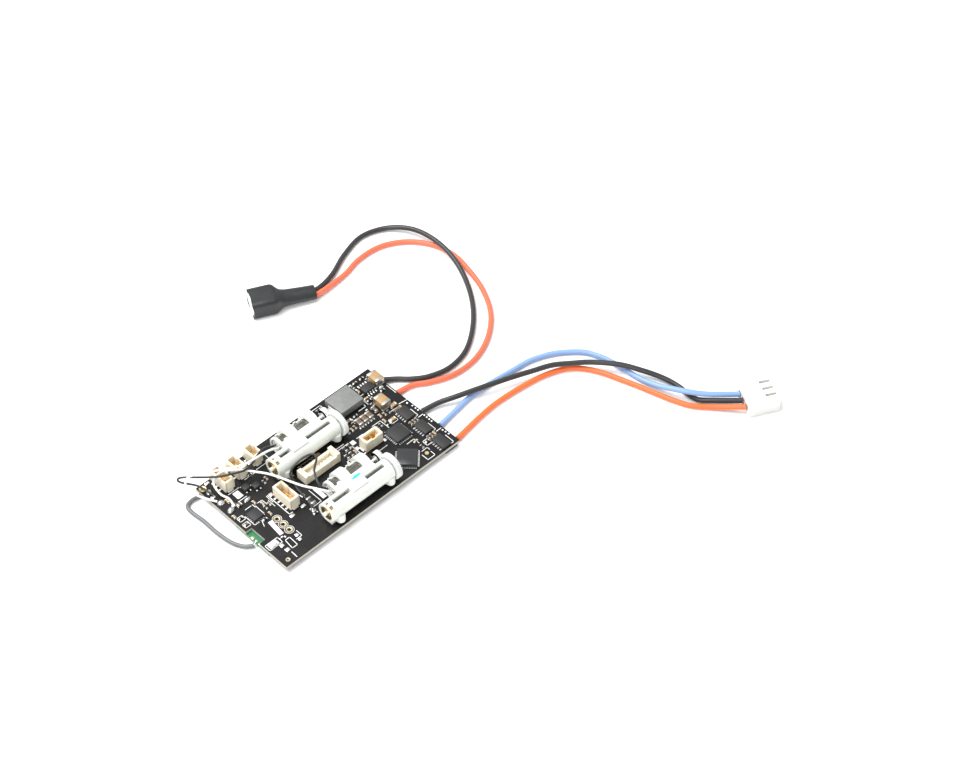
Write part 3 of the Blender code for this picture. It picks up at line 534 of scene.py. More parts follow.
def layCords():
    plug = plugPlace(batteryPlug["place"], batteryPlug["turn"])
    h = wire["height"]
    within = ((12.6, 0.7, 1.2), (7.5, 0.7, 1.35), (2.7, 0.72, 1.6))
    inSleeve = {side: [plug @ Vector((x, y * side, z)) for x, y, z in within] for side in (1, -1)}
    black = lifted(h, [
        (25.6, 10.9, 0.1), (28.3, 8.8), (30.5, 6.6), (34.0, 4.3), (39.3, 3.0),
        (45.6, 4.3), (52.3, 8.9), (57.8, 14.9), (62.0, 22.1, 0.3), (64.0, 28.8, 1.2),
        (64.4, 35.9, 1.5), (63.2, 42.0, 1.0), (59.6, 46.8, 0.2), (53.6, 48.8),
        (46.6, 47.0), (39.6, 43.8, 0.1)
    ]) + inSleeve[1]
    red = lifted(h, [
        (25.1, 5.7, 0.1), (29.4, 5.0), (32.9, 2.9), (38.0, 0.9), (44.6, 0.8),
        (51.3, 3.3), (57.6, 8.4), (61.9, 15.4), (64.3, 23.0), (65.2, 29.0),
        (63.9, 35.0), (60.2, 40.0), (54.6, 43.1), (48.0, 43.4), (41.6, 41.9),
    ]) + inSleeve[-1]
    plug = plugPlace(motorPlug["place"], motorPlug["turn"])
    ends = [plug @ Vector((-3.95, side, 1.8)) for side in (2.0, 0.0, -2.0)]
    motorBlack = lifted(h, [
        (25.6, -2.3, 0.1), (29.7, -3.3, 0.5), (33.1, -5.0, 1.1), (38.0, -7.0, 1.5),
        (41.7, -8.4, 1.6), (46.1, -10.0, 1.6), (50.8, -11.9, 1.6), (55.1, -13.8, 1.7),
        (58.7, -16.5, 1.7), (62.1, -19.5, 1.8), (65.9, -24.3, 1.9), (68.5, -28.6, 1.4),
        (70.9, -33.0, 0.5), (71.9, -37.0), (71.7, -40.4), (72.0, -43.0, 0.1),
        (74.2, -46.1, 0.6),
    ]) + [ends[1]]
    blue = lifted(h, [
        (25.6, -8.1, 0.1), (31.3, -7.3), (37.0, -6.6), (42.6, -6.9), (47.9, -7.5),
        (52.7, -8.0), (56.1, -9.0), (59.4, -10.6), (62.5, -13.0), (64.6, -15.3),
        (65.8, -18.0), (66.6, -21.1), (67.0, -24.5), (67.4, -29.5, 0.1),
        (68.1, -33.9, 0.8), (69.3, -37.9, 1.7), (71.2, -41.4, 1.9), (73.9, -44.5, 1.6),
    ]) + [ends[0]]
    orange = lifted(h, [
        (25.6, -13.6, 0.1), (34.2, -12.4), (40.1, -12.1), (47.9, -12.8), (53.2, -13.8),
        (57.8, -15.7), (60.4, -18.2), (62.5, -21.8), (64.1, -26.4), (65.6, -31.1),
        (66.9, -35.8), (68.1, -39.6), (69.7, -43.2), (72.6, -46.8, 0.2),
    ]) + [ends[2]]
    contacts = [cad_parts[n] for n in ("battery_plug", "battery_contact_1", "battery_contact_2")] + buildPlugs()
    runs = [
        ("battery", "Black", black, contacts), ("battery", "Red", red, contacts),
        ("motor", "Black", motorBlack, [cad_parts["motor_plug"]]),
        ("motor", "Blue", blue, [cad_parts["motor_plug"]]),
        ("motor", "Orange", orange, [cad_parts["motor_plug"]]),
    ]
    for lead, tone, route, carried in runs:
        node, slotName = f"{lead}_wire_{tone.lower()}", tone.lower() + "_jacket"
        makeCord(lead + "Wire" + tone, route, wire["diameter"], "wire" + tone, node)

    coax = lifted(0.495, [
        (-25.5, -5.0, 0.1), (-27.2, -3.6), (-28.4, -0.9), (-28.9, 3.1), (-28.9, 7.7),
        (-29.17, 10.9), (-28.9, 13.1), (-27.3, 13.8), (-24.9, 13.5), (-22.0, 13.2),
        (-19.5, 12.9),
    ])
    makeCord("aerialCoax", coax, 0.95, "wireGrey", "antenna_coax")

    far, near = (servo["rows"][name] + servo["motorY"] for name in ("servo_1", "servo_2"))
    servoLeads = {
        "servo_1_wire_black": [
            (-6.25, far + 0.7, 2.6), (-9.6, 10.7, 3.6), (-15.2, 8.6, 4.0), (-18.8, 9.7, 4.1), (-21.8, 11.6, 4.0),
            (-24.5, 14.9, 3.3), (-26.4, 17.3, 2.8), (-27.2, 18.0, 2.2), (-26.9, 17.2, 1.6), (-24.6, 14.2, 1.0),
            (-23.7, 10.6, 0.35),
        ],
        "servo_1_wire_white": [
            (-6.25, far - 0.6, 2.8), (-9.3, 9.0, 4.4), (-15.8, 9.2, 5.2), (-21.0, 11.8, 5.3), (-24.0, 14.2, 4.7),
            (-25.9, 15.7, 3.8), (-26.9, 15.6, 2.6), (-26.9, 13.9, 1.5), (-26.0, 11.6, 0.8), (-24.2, 8.6, 0.35),
        ],
        "servo_2_wire_white": [
            (-6.25, near - 0.5, 2.9), (-7.6, -8.2, 4.4), (-9.3, -6.2, 5.0), (-11.0, -3.4, 5.2),
            (-13.0, 3.0, 4.6), (-14.6, 7.2, 3.5), (-16.9, 10.2, 3.42), (-20.0, 12.0, 3.75), (-22.4, 11.7, 2.6),
            (-22.6, 9.4, 0.9), (-21.9, 7.4, 0.4), (-22.4, 5.0, 0.35),
        ],
        "servo_2_wire_black": [
            (-6.25, near + 0.8, 2.6), (-7.5, -5.7, 4.2), (-6.1, -2.6, 4.9), (-3.3, -0.1, 4.9), (-3.3, 1.6, 4.7),
            (-5.8, 2.4, 4.2), (-8.2, 2.4, 3.2), (-9.2, 1.9, 2.2), (-9.0, 1.2, 1.2), (-9.6, -0.4, 0.45),
            (-9.9, -2.4, 0.35), (-10.2, -4.4, 0.35), (-10.6, -6.4, 0.35), (-10.9, -7.2, 0.35),
        ],
    }
    for node, route in servoLeads.items():
        tone = "Black" if node.endswith("black") else "White"
        name = f"servo{node[6]}Lead{tone}"
        slotName = tone.lower() + "_jacket"
        makeCord(name, lifted(boardTop, route), 0.5, "wire" + tone, node)


servo = dict(
    rows={"servo_1": 5.3, "servo_2": -11.95},
    sliderAt={"servo_1": -3.85, "servo_2": -2.2},
    axis=3.25, tube=2.35, bore=1.75, motorY=4.368, motorZ=2.4,
    gear=(6.95, 8.25), module=0.13, screwTeeth=46, pinionTeeth=22,
)


def addGear(bm, teeth, ends, centre, first):
    # a spur gear: a disc whose rim is pulled in between the teeth, with chamfered flanks
    pitch = servo["module"] * teeth / 2
    tip, root = pitch + 0.1, pitch - 0.15
    before = set(bm.verts)
    bmesh.ops.create_circle(bm, cap_ends=True, radius=1.0, segments=teeth * 4)
    rim = [vert for vert in bm.verts if vert not in before]
    spread = (-0.125, -0.05, 0.05, 0.125)
    for index, vert in enumerate(rim):
        tooth, corner = divmod(index, 4)
        radius = tip if corner in (1, 2) else root
        angle = first + tooth * math.tau / teeth + spread[corner] / radius
        vert.co = Vector((ends[0], radius * math.cos(angle), radius * math.sin(angle)))
    bmesh.ops.translate(bm, vec=centre, verts=rim)
    drawOut(bm, rim[0].link_faces[0], (ends[1] - ends[0], 0, 0))


def addThread(bm, ends, core, crest, pitch, centre):
    # a helical ridge wound on the core
    turns = (ends[1] - ends[0] - pitch) / pitch
    steps = max(12, round(turns * 20))
    half = pitch * 0.32
    shape = [(-half, core - 0.05), (-half * 0.35, crest), (half * 0.35, crest), (half, core - 0.05)]
    spots = [bm.verts.new((ends[0] + pitch / 2 + along, 0.0, radius)) for along, radius in shape]
    edges = [bm.edges.new((a, b)) for a, b in zip(spots, spots[1:] + spots[:1])]
    before = set(bm.verts) - set(spots)
    bmesh.ops.spin(
        bm, geom=spots + edges, cent=(0, 0, 0), axis=(1, 0, 0), angle=turns * math.tau, steps=steps,
        dvec=(pitch * turns / steps, 0, 0),
    )
    verts = [vert for vert in bm.verts if vert not in before]
    rims = list({edge for vert in verts for edge in vert.link_edges if edge.is_boundary})
    bmesh.ops.holes_fill(bm, edges=rims, sides=4)
    bmesh.ops.translate(bm, vec=centre, verts=verts)


def addTube(bm, y, z):
    # the screw tube: a pierced sheet rolled round the screw, then given its wall
    stations = [-11.2, -10.8, -9.95, -9.1, 5.3, 6.6]
    segments = 62
    before = set(bm.verts)
    bmesh.ops.create_circle(bm, cap_ends=False, radius=servo["tube"], segments=segments)
    ring = [vert for vert in bm.verts if vert not in before]
    for vert in ring:
        angle = math.atan2(vert.co.y, vert.co.x)
        vert.co = Vector((stations[0], servo["tube"] * math.sin(angle), servo["tube"] * math.cos(angle)))
    edges = list({edge for vert in ring for edge in vert.link_edges})
    for here, there in zip(stations, stations[1:]):
        grown = bmesh.ops.extrude_edge_only(bm, edges=edges)["geom"]
        moved = [item for item in grown if isinstance(item, bmesh.types.BMVert)]
        edges = [item for item in grown if isinstance(item, bmesh.types.BMEdge)]
        edges = [edge for edge in edges if all(vert in set(moved) for vert in edge.verts)]
        bmesh.ops.translate(bm, vec=(there - here, 0, 0), verts=moved)
    skin = list({face for vert in bm.verts if vert not in before for face in vert.link_faces})
    opened = []
    for face in skin:
        middle = face.calc_center_median()
        angle = math.degrees(math.atan2(middle.y, middle.z))
        along = middle.x
        topSlot = abs(angle) < 11.7 and -9.1 < along < 5.3
        underSlot = abs(angle) > 162.5 and -9.1 < along < 5.3
        notches = -10.8 < along < -9.95 and (5.5 < angle < 23.5 or -35.0 < angle < -17.0)
        if topSlot or underSlot or notches:
            opened.append(face)
    bmesh.ops.delete(bm, geom=opened, context="FACES")
    skin = [face for face in skin if face.is_valid]
    bmesh.ops.recalc_face_normals(bm, faces=skin)
    bmesh.ops.solidify(bm, geom=skin, thickness=servo["tube"] - servo["bore"])
    verts = [vert for vert in bm.verts if vert not in before]
    bmesh.ops.translate(bm, vec=(0, y, z), verts=verts)


def addRolled(bm, stations, start, end, radius, wall, centre, steps=20, opened=(), round=()):
    # a sheet rolled about the X axis from one angle to another (from +Y up to +Z), pierced, then thickened inwards
    before = set(bm.verts)
    spots = []
    for step in range(steps + 1):
        angle = math.radians(start + (end - start) * step / steps)
        spots.append(bm.verts.new((stations[0], radius * math.cos(angle), radius * math.sin(angle))))
    edges = [bm.edges.new(pair) for pair in zip(spots, spots[1:])]
    for here, there in zip(stations, stations[1:]):
        grown = bmesh.ops.extrude_edge_only(bm, edges=edges)["geom"]
        moved = {item for item in grown if isinstance(item, bmesh.types.BMVert)}
        edges = [item for item in grown if isinstance(item, bmesh.types.BMEdge) and set(item.verts) <= moved]
        bmesh.ops.translate(bm, vec=(there - here, 0, 0), verts=list(moved))
    skin = list({face for vert in bm.verts if vert not in before for face in vert.link_faces})
    gone = []
    for face in skin:
        middle = face.calc_center_median()
        angle = math.degrees(math.atan2(middle.z, middle.y))
        for low, high, first, last in opened:
            if low < middle.x < high and first < angle < last:
                gone.append(face)
    bmesh.ops.delete(bm, geom=list(set(gone)), context="FACES")
    skin = [face for face in skin if face.is_valid]
    bmesh.ops.recalc_face_normals(bm, faces=skin)
    outward = sum(face.normal.yz.dot(face.calc_center_median().yz) for face in skin)
    bmesh.ops.solidify(bm, geom=skin, thickness=wall if outward > 0 else -wall)
    verts = [vert for vert in bm.verts if vert not in before]
    bmesh.ops.translate(bm, vec=centre, verts=verts)
    return verts


def addWedge(bm, points, x0, x1, bevel=0.0):
    # a prism along X with a given outline in Y and Z
    spots = [bm.verts.new((x0, across, up)) for across, up in points]
    far = drawOut(bm, bm.faces.new(spots), (x1 - x0, 0, 0))
    if bevel:
        edges = list({edge for vert in spots + far for edge in vert.link_edges})
        bmesh.ops.bevel(bm, geom=edges, offset=bevel, segments=3, affect="EDGES", profile=0.5, material=-1)


def buildServo(name, y):
    base = boardTop
    z = base + servo["axis"]
    motorY, motorZ = y + servo["motorY"], base + servo["motorZ"]
    label = name.replace("_", "")

    bm = bmesh.new()
    addTube(bm, y, z)
    addTurned(bm, [(5.75, 0.56), (5.75, 1.8), (6.6, 1.8), (6.6, 0.56)], (0, y, z), steps=48)
    makePiece(label + "Tube", bm, "servoPlastic", soften=0.07, stands=[name + "_frame"])

    bm = bmesh.new()
    # a flat deck runs from the tube to a lip over the motor's flank
    deck = [(1.0, 5.0), (1.9, 4.72), (2.6, 4.5), (3.5, 4.45), (3.5, 4.2), (2.9, 3.8), (2.6, 3.3)]
    deck += [(1.88, 3.3), (1.74, 4.0), (1.42, 4.5)]
    addWedge(bm, [(y + across, base + up) for across, up in deck], -6.2, 4.7, 0.06)
    shoulder = [(1.9, 1.3), (1.9, 3.7), (1.3, 4.65), (2.1, 4.2), (2.5, 3.4), (2.5, 1.3)]
    addWedge(bm, [(y + across, base + up) for across, up in shoulder], 4.5, 6.35, 0.05)
    addBlock(bm, (-6.0, motorY - 1.9, base + 0.04), (4.5, motorY + 2.2, base + 0.6))
    addBlock(bm, (-6.1, y + 1.0, base + 0.9), (4.6, y + 2.6, base + 1.6))
    for x0, x1 in ((-10.8, -9.5), (5.3, 6.4)):
        addBlock(bm, (x0, y - 1.2, base + 0.04), (x1, y + 1.2, base + 1.6), bevel=0.15, segments=3)
    # side post of the left window and its lip, facing the motor
    addBlock(bm, (-4.6, y + 3.35, base + 4.22), (-3.7, y + 3.95, base + 4.42), bevel=0.06)
    makePiece(label + "Deck", bm, "servoPlastic", soften=0.05)

    bm = bmesh.new()
    # half-round cradle below the motor, and domed straps over it
    addRolled(bm, (-6.2, -5.45, -3.6, -1.0, 2.4, 4.7), -176, -4, 2.44, 0.38, (0, motorY, motorZ), 26)
    for x0, x1, radius, shift in ((2.5, 4.65, 2.78, 0.5), (-3.6, -1.05, 2.78, 0.5), (-6.2, -5.5, 2.42, 0.1)):
        outline = []
        for step in range(25):
            angle = math.radians(-8 + 160 * step / 24)
            outline.append((motorY + shift + radius * math.cos(angle), motorZ - 0.05 + radius * math.sin(angle)))
        for step in range(21):
            angle = math.radians(150 - 158 * step / 20)
            outline.append((motorY + 2.02 * math.cos(angle), motorZ + 2.02 * math.sin(angle)))
        addWedge(bm, outline, x0, x1)
    wall = [(2.1, 0.2), (2.06, 3.1), (2.42, 3.1), (2.45, 0.2)]
    addWedge(bm, [(motorY + across, base + up) for across, up in wall], -6.2, 4.7, 0.05)
    for x in (-4.5, 0.7):
        addSlab(bm, (x, motorY + 2.26), (0.7, 0.32), base + 2.2, base + 3.5, bevel=0.06)
    makePiece(label + "Cradle", bm, "servoPlastic", soften=0.16, segments=3)

    bm = bmesh.new()
    # two rounded screw lugs with their holes, and webs back to the tube
    for x, offset in ((5.65, -1.75), (-8.8, -1.9)):
        spot = (x, y + offset, 0)
        ring = [(0.7, 0.0), (0.7, 0.88), (0.8, 0.98), (2.3, 1.0), (2.5, 0.95), (2.62, 0.8)]
        ring += [(2.66, 0.5), (2.6, 0.33), (2.45, 0.28), (1.6, 0.28), (1.6, 0.0)]
        addTurned(bm, [(base + up, radius) for up, radius in ring], spot, "Z", 40)
        web = [(x - 1.0, y + offset), (x + 1.0, y + offset), (x + 1.25, y - 1.2), (x - 1.25, y - 1.2)]
        corners = [bm.verts.new((a, b, base + 0.85)) for a, b in web]
        drawOut(bm, bm.faces.new(corners), (0, 0, 1.35))
    # shaved off where they would stand in the slider's way
    bmesh.ops.bisect_plane(
        bm, geom=bm.verts[:] + bm.edges[:] + bm.faces[:], clear_outer=True,
        plane_co=(0, y - 1.78, z - 0.56), plane_no=Vector((0, 0.79, 0.61)),
    )
    rims = [edge for edge in bm.edges if edge.is_boundary]
    bmesh.ops.holes_fill(bm, edges=rims, sides=0)
    makePiece(label + "Lugs", bm, "servoPlastic", soften=0.06, segments=3)

    bm = bmesh.new()
    core = [(-11.85, 0.0), (-11.85, 0.36), (-11.75, 0.45), (-9.6, 0.45), (-9.6, 0.62), (5.6, 0.62), (5.6, 0.45)]
    core += [(6.72, 0.45), (6.72, 1.2), (6.8, 1.3), (8.3, 1.3), (8.42, 1.2), (8.42, 0.0)]
    addTurned(bm, core, (0, y, z), steps=32)
    addThread(bm, (-9.5, 5.5), 0.62, 0.8, 1.0, (0, y, z))
    # web between the boss and the rim, set in from the gear's outer face
    web = [(7.0, 1.2), (7.0, 2.6), (7.12, 2.75), (8.0, 2.75), (8.16, 2.6), (8.16, 2.35)]
    web += [(8.02, 2.2), (8.02, 1.5), (8.2, 1.2)]
    addTurned(bm, web, (0, y, z), steps=46)
    mesh = math.atan2(servo["motorZ"] - servo["axis"], servo["motorY"])
    addGear(bm, servo["screwTeeth"], (6.95, 8.12), (0, y, z), mesh)
    makePiece(
        label + "Screw", bm, "gearPlastic", name + "_screw", soften=0.04,
        stands=[name + "_lead_screw"],
    )

    bm = bmesh.new()
    shaft = [(4.84, 0.0), (4.84, 0.35), (6.9, 0.35), (6.9, 0.8), (8.3, 0.8), (8.38, 0.72)]
    shaft += [(8.38, 0.36), (8.3, 0.28), (8.3, 0.0)]
    addTurned(bm, shaft, (0, motorY, motorZ), steps=24)
    half = math.pi / servo["pinionTeeth"]
    addGear(bm, servo["pinionTeeth"], servo["gear"], (0, motorY, motorZ), mesh + math.pi + half)
    makePiece(
        label + "Pinion", bm, "gearPlastic", name + "_pinion", soften=0.03,
        stands=[name + "_pinion"], segments=1,
    )

    bm = bmesh.new()
    middle = servo["sliderAt"][name]
    a, b = middle - 2.2, middle + 2.2
    addTurned(bm, [(a, 0.86), (a, 1.62), (b, 1.62), (b, 0.86)], (0, y, z), steps=40)
    addBlock(bm, (a, y - 0.4, z + 1.4), (b, y + 0.4, z + 2.5))
    saddle = (a, a + 0.2, b - 0.2, b)
    addRolled(bm, saddle, 62, 118, 2.67, 0.27, (0, y, z), 16)
    makePiece(
        label + "Slider", bm, "servoPlastic", name + "_slider", soften=0.09,
        stands=[name + "_slider"], segments=3,
    )

    bm = bmesh.new()
    can = [(-5.35, 0.0), (-5.35, 1.83), (-5.25, 1.93), (4.2, 1.93), (4.35, 1.8), (4.35, 0.75), (4.8, 0.7), (4.8, 0.0)]
    addTurned(bm, can, (0, motorY, motorZ), steps=56)
    makePiece(label + "Motor", bm, "can", stands=[name + "_motor"])

    bm = bmesh.new()
    cap = [(-6.05, 0.0), (-6.05, 0.5), (-5.95, 0.55), (-5.95, 1.7), (-5.85, 1.82), (-5.4, 1.86), (-5.4, 0.0)]
    addTurned(bm, cap, (0, motorY, motorZ), steps=40)
    makePiece(label + "MotorCap", bm, "servoPlastic", stands=[name + "_motor_cap"])
    bm = bmesh.new()
    for side in (-0.7, 0.8):
        addSlab(bm, (-6.01, motorY + side), (0.14, 0.6), motorZ + 0.1, motorZ + 0.9, bevel=0.04)
    makePiece(label + "MotorTabs", bm, "solder")

    bm = bmesh.new()
    bush = [(-11.12, 0.56), (-11.12, 0.9), (-11.0, 0.98), (-11.05, 1.2), (-11.12, 1.3)]
    bush += [(-11.12, 1.58), (-11.05, 1.66), (-9.95, 1.66), (-9.95, 0.52), (-11.05, 0.5)]
    addTurned(bm, bush, (0, y, z), steps=48)
    makePiece(label + "Bush", bm, "brass", stands=[name + "_bush"])
    bm = bmesh.new()
    # three black discs on the bush's face: painted shade standing in for the shade inside its pockets
    for angle in (30, 150, 270):
        spot = (0, y + 1.28 * math.cos(math.radians(angle)), z + 1.28 * math.sin(math.radians(angle)))
        addTurned(bm, [(-11.16, 0.0), (-11.16, 0.2), (-11.0, 0.2), (-11.0, 0.0)], spot, steps=14)
    makePiece(label + "BushPocketShade", bm, "track")

    refinish(name + "_wiper", "brass")
    refinish(name + "_track", "track")


def buildServos():
    for name, y in servo["rows"].items():
        buildServo(name, y)
    # teal paint mark beside the near servo's middle strap
    bm = bmesh.new()
    y, z = servo["rows"]["servo_2"], boardTop
    for x, offset, size in ((-1.1, 0.0, 0.55), (-0.4, 0.12, 0.6), (0.15, 0.08, 0.42), (-0.7, 0.3, 0.4)):
        made = addTurned(bm, [(0.0, 0.0), (0.0, size), (0.05, size * 0.8), (0.08, 0.0)], (x, offset, 0), "Z", 20)
        bmesh.ops.scale(bm, vec=(1.25, 0.85, 1.5), space=Matrix.Translation((-x, -offset, 0)), verts=made)
    lie = Matrix.Translation((0.1, y + 2.2, z + 4.62)) @ Matrix.Rotation(-0.27, 4, "X")
    bmesh.ops.transform(bm, matrix=lie, verts=bm.verts)
    makePiece("paintMark", bm, "teal")


sockets = {
    "sensor_socket": dict(x=-13.1, y=-1.18, long=5.85, turned=False, pins=4),
    "rudder_socket": dict(x=10.5, y=-2.18, long=4.8, turned=True, pins=3),
    "aileron_socket": dict(x=-19.9, y=12.05, long=5.5, turned=False, pins=3),
    "flap_socket": dict(x=-15.6, y=12.4, long=4.6, turned=False, pins=3),
    "aux_socket": dict(x=-10.78, y=12.7, long=4.0, turned=False, pins=2),
}


well = dict(deep=1.3, wall=0.5, foot=0.05, rim=3.04, pitch=1.25)


def buildSocket(name, facts):
    # built along Y, then turned: housing with a stepped well, contacts, and tinned feet
    low, high = boardTop + well["foot"], boardTop + well["rim"]
    half, deep, wall = facts["long"] / 2, well["deep"], well["wall"]
    bm, floor, pins, feet = bmesh.new(), bmesh.new(), bmesh.new(), bmesh.new()
    addBlock(bm, (-deep, -half, low), (deep, half, low + 0.7))
    addBlock(bm, (-deep, -half, low + 0.5), (-deep + wall, half, high))
    addBlock(bm, (deep - wall, -half, low + 0.5), (deep, -0.55, high))
    addBlock(bm, (deep - wall, 0.55, low + 0.5), (deep, half, high))
    addBlock(bm, (deep - wall * 0.45, -0.6, low + 0.5), (deep, 0.6, high - 0.15))
    addBlock(bm, (-deep + 0.1, -half, low + 0.5), (deep - 0.1, -half + wall, high))
    addBlock(bm, (-deep + 0.1, half - wall, low + 0.5), (deep - 0.1, half, high))
    # the well's floor, and a liner on the lower back wall, in a darker, warmer copy of the housing's nylon: painted
    # shade inside the well
    addSlab(floor, (0, 0), (2 * (deep - wall) + 0.04, 2 * (half - wall) + 0.04), low + 0.6, low + 0.9)
    addBlock(floor, (-deep + wall - 0.03, -half + wall, low + 0.8), (-deep + wall + 0.04, half - wall, low + 2.2))
    pitch = min(well["pitch"], (facts["long"] - 2.0) / max(1, facts["pins"] - 1))
    for index in range(facts["pins"]):
        at = (index - (facts["pins"] - 1) / 2) * pitch
        addBlock(pins, (-0.1, at - 0.16, low + 0.6), (0.1, at + 0.16, low + 2.3), bevel=0.05, top=0.7)
        addBlock(pins, (-0.62, at - 0.16, low + 0.6), (-0.45, at + 0.16, low + 2.0), bevel=0.04)
        addSlab(feet, (-deep - 0.25, at), (0.7, 0.4), boardTop + 0.02, boardTop + 0.22, bevel=0.05)
    for side in (-1, 1):
        addSlab(feet, (-0.15, side * (half + 0.225)), (1.5, 0.45), boardTop + 0.02, boardTop + 0.3, bevel=0.08)
    place = Matrix.Translation((facts["x"], facts["y"], 0))
    if facts["turned"]:
        place = place @ Matrix.Rotation(-math.pi / 2, 4, "Z")
    for mesh in (bm, floor, pins, feet):
        bmesh.ops.transform(mesh, matrix=place, verts=mesh.verts)
    label = name.replace("_socket", "Socket")
    makePiece(label, bm, "cream", soften=0.08, stands=[name])
    makePiece(label + "Well", floor, "amber")
    makePiece(label + "Contacts", pins, "gold")
    makePiece(label + "Feet", feet, "tin")


def buildSockets():
    for name, facts in sockets.items():
        buildSocket(name, facts)
    # low side-entry socket between the servos
    low = boardTop + 0.05
    bm = bmesh.new()
    addBlock(bm, (-7.4, -1.15, low), (2.4, 0.1, low + 1.1))
    addBlock(bm, (-7.4, -1.15, low + 0.9), (2.4, -0.55, low + 2.1))
    addBlock(bm, (-7.4, 0.1, low), (2.4, 1.85, low + 0.9))
    addBlock(bm, (-7.0, 1.1, low + 0.7), (2.0, 1.8, low + 2.0))
    for x0, x1, top in ((-7.45, -6.3, 2.45), (1.4, 2.45, 2.7)):
        addBlock(bm, (x0, -1.18, low), (x1, 1.88, low + top))
    addBlock(bm, (1.5, 0.4, low + 2.5), (2.3, 1.5, low + 3.3), top=0.45)
    makePiece("programmingSocket", bm, "cream", soften=0.08, stands=["programming_socket"])
    bm = bmesh.new()
    for index in range(8):
        x = -5.6 + index * 0.95
        addBlock(bm, (x - 0.14, -0.5, low + 1.0), (x + 0.14, 1.05, low + 1.25), bevel=0.04)
        addBlock(bm, (x - 0.2, 1.9, boardTop + 0.02), (x + 0.2, 2.5, boardTop + 0.2), bevel=0.05)
    makePiece("programmingSocketContacts", bm, "tin")


def buildChips():
    top = boardTop + 0.05
    plain = [
        # name, centre, size, turn, height, finish
        ("battery_switch", (20.6, 10.2), (3.0, 2.2), 0, 1.0, "epoxy"),
        ("motor_driver_1", (21.7, -1.25), (2.6, 3.8), 0, 0.8, "epoxy"),
        ("motor_driver_2", (21.7, -7.0), (2.6, 3.8), 0, 0.8, "epoxy"),
        ("motor_driver_3", (21.6, -12.65), (2.6, 3.8), 0, 0.8, "epoxy"),
        ("motor_controller", (16.55, -4.35), (4.2, 4.2), 0, 0.8, "epoxy"),
        ("flight_processor", (13.1, -10.9), (4.6, 4.6), 45, 0.85, "epoxyGloss"),
        ("gyro_chip", (-20.8, 0.07), (2.75, 2.75), 0, 0.75, "epoxy"),
        ("regulator_1", (-17.4, 7.2), (1.6, 1.5), 0, 0.9, "epoxy"),
        ("regulator_2", (-15.5, 6.1), (1.6, 1.5), 0, 0.9, "epoxy"),
    ]
    for name, (x, y), (long, wide), turn, height, finish in plain:
        bm = bmesh.new()
        low, high = (x - long / 2, y - wide / 2, top), (x + long / 2, y + wide / 2, top + height)
        addBlock(bm, low, high, turn, (x, y, 0), 0.05, 2, 0.985)
        # the first pin's dimple, as a shallow ring
        dot = Vector((-long / 2 + 0.45, wide / 2 - 0.45, 0))
        dot.rotate(Matrix.Rotation(math.radians(turn), 3, "Z"))
        dimple = [(0, 0.1), (0, 0.16), (0.012, 0.16), (0.012, 0.1)]
        addTurned(bm, dimple, (x + dot.x, y + dot.y, top + height), "Z", 16)
        first, *others = name.split("_")
        label = first + "".join(word.capitalize() for word in others)
        makePiece(label, bm, finish, stands=[name])
    print("chips done")


def addPads(bm, centre, side, count, pitch, turn=0.0, length=0.5, width=0.22, faces=(0, 1, 2, 3), height=0.12):
    # rows of tinned pads round a square chip, whose half side is given
    for face in faces:
        angle = turn + face * 90
        for index in range(count):
            spot = Vector((side, (index - (count - 1) / 2) * pitch, 0))
            spot.rotate(Matrix.Rotation(math.radians(angle), 3, "Z"))
            place = (centre[0] + spot.x, centre[1] + spot.y)
            addSlab(bm, place, (length, width), boardTop + 0.01, boardTop + height, angle, 0.03, 1)


def buildLeads():
    bm = bmesh.new()
    addPads(bm, (16.55, -4.35), 2.26, 8, 0.5, length=0.56, width=0.28, height=0.16)
    addPads(bm, (13.1, -10.9), 2.46, 12, 0.36, 45, 0.5, 0.2)
    addPads(bm, (-20.8, 0.07), 1.5, 5, 0.5, height=0.14)
    for x, y in ((21.7, -1.25), (21.7, -7.0), (21.6, -12.65)):
        addPads(bm, (x, y), 1.48, 5, 0.7, faces=(2,), length=0.66, width=0.38, height=0.2)
        addPads(bm, (x, y), 1.4, 4, 0.85, faces=(0,), length=0.4, width=0.35, height=0.14)
    # gull-wing leads of the battery switch, four each side along Y
    for index in range(4):
        x = 20.75 + (index - 1.5) * 0.72
        for side in (-1, 1):
            addSlab(bm, (x, 10.4 + side * 1.55), (0.36, 1.0), boardTop + 0.01, boardTop + 0.19, bevel=0.05)
            addSlab(bm, (x, 10.2 + side * 1.2), (0.3, 0.32), boardTop + 0.1, boardTop + 0.6, bevel=0.05)
    for x, y in ((-17.4, 7.2), (-15.5, 6.1)):
        for dx in (-0.5, 0.5):
            for side in (-1, 1):
                foot = (x + dx, y + side * 0.95)
                addSlab(bm, foot, (0.36, 0.44), boardTop + 0.01, boardTop + 0.25, bevel=0.05)
    makePiece("chipLeads", bm, "tin")


def addSmallPart(bodies, ends, spot, size, alongY=False):
    # a chip resistor or capacitor: body, and two wrapped metal ends with a little solder at the toe
    long, wide, high = size
    low, half, cap = boardTop + 0.03, long / 2, long * 0.22
    place = Matrix.Translation((*spot, 0)) @ Matrix.Rotation(math.radians(90 if alongY else 0), 4, "Z")
    body = (long - 0.06, wide - 0.04)
    made = addSlab(bodies, (0, 0), body, low, low + high - 0.02, bevel=min(0.06, high * 0.12))
    bmesh.ops.transform(bodies, matrix=place, verts=made)
    for side in (-1, 1):
        inner, outer, toe = side * (half - cap), side * half, side * (half + 0.12)
        left, right = min(inner, outer), max(inner, outer)
        made = addBlock(ends, (left, -wide / 2, low), (right, wide / 2, low + high), bevel=min(0.07, high * 0.16))
        left, right, flank = min(inner, toe), max(inner, toe), wide / 2 + 0.03
        made += addBlock(ends, (left, -flank, boardTop + 0.005), (right, flank, boardTop + 0.18), bevel=0.05)
        bmesh.ops.transform(ends, matrix=place, verts=made)


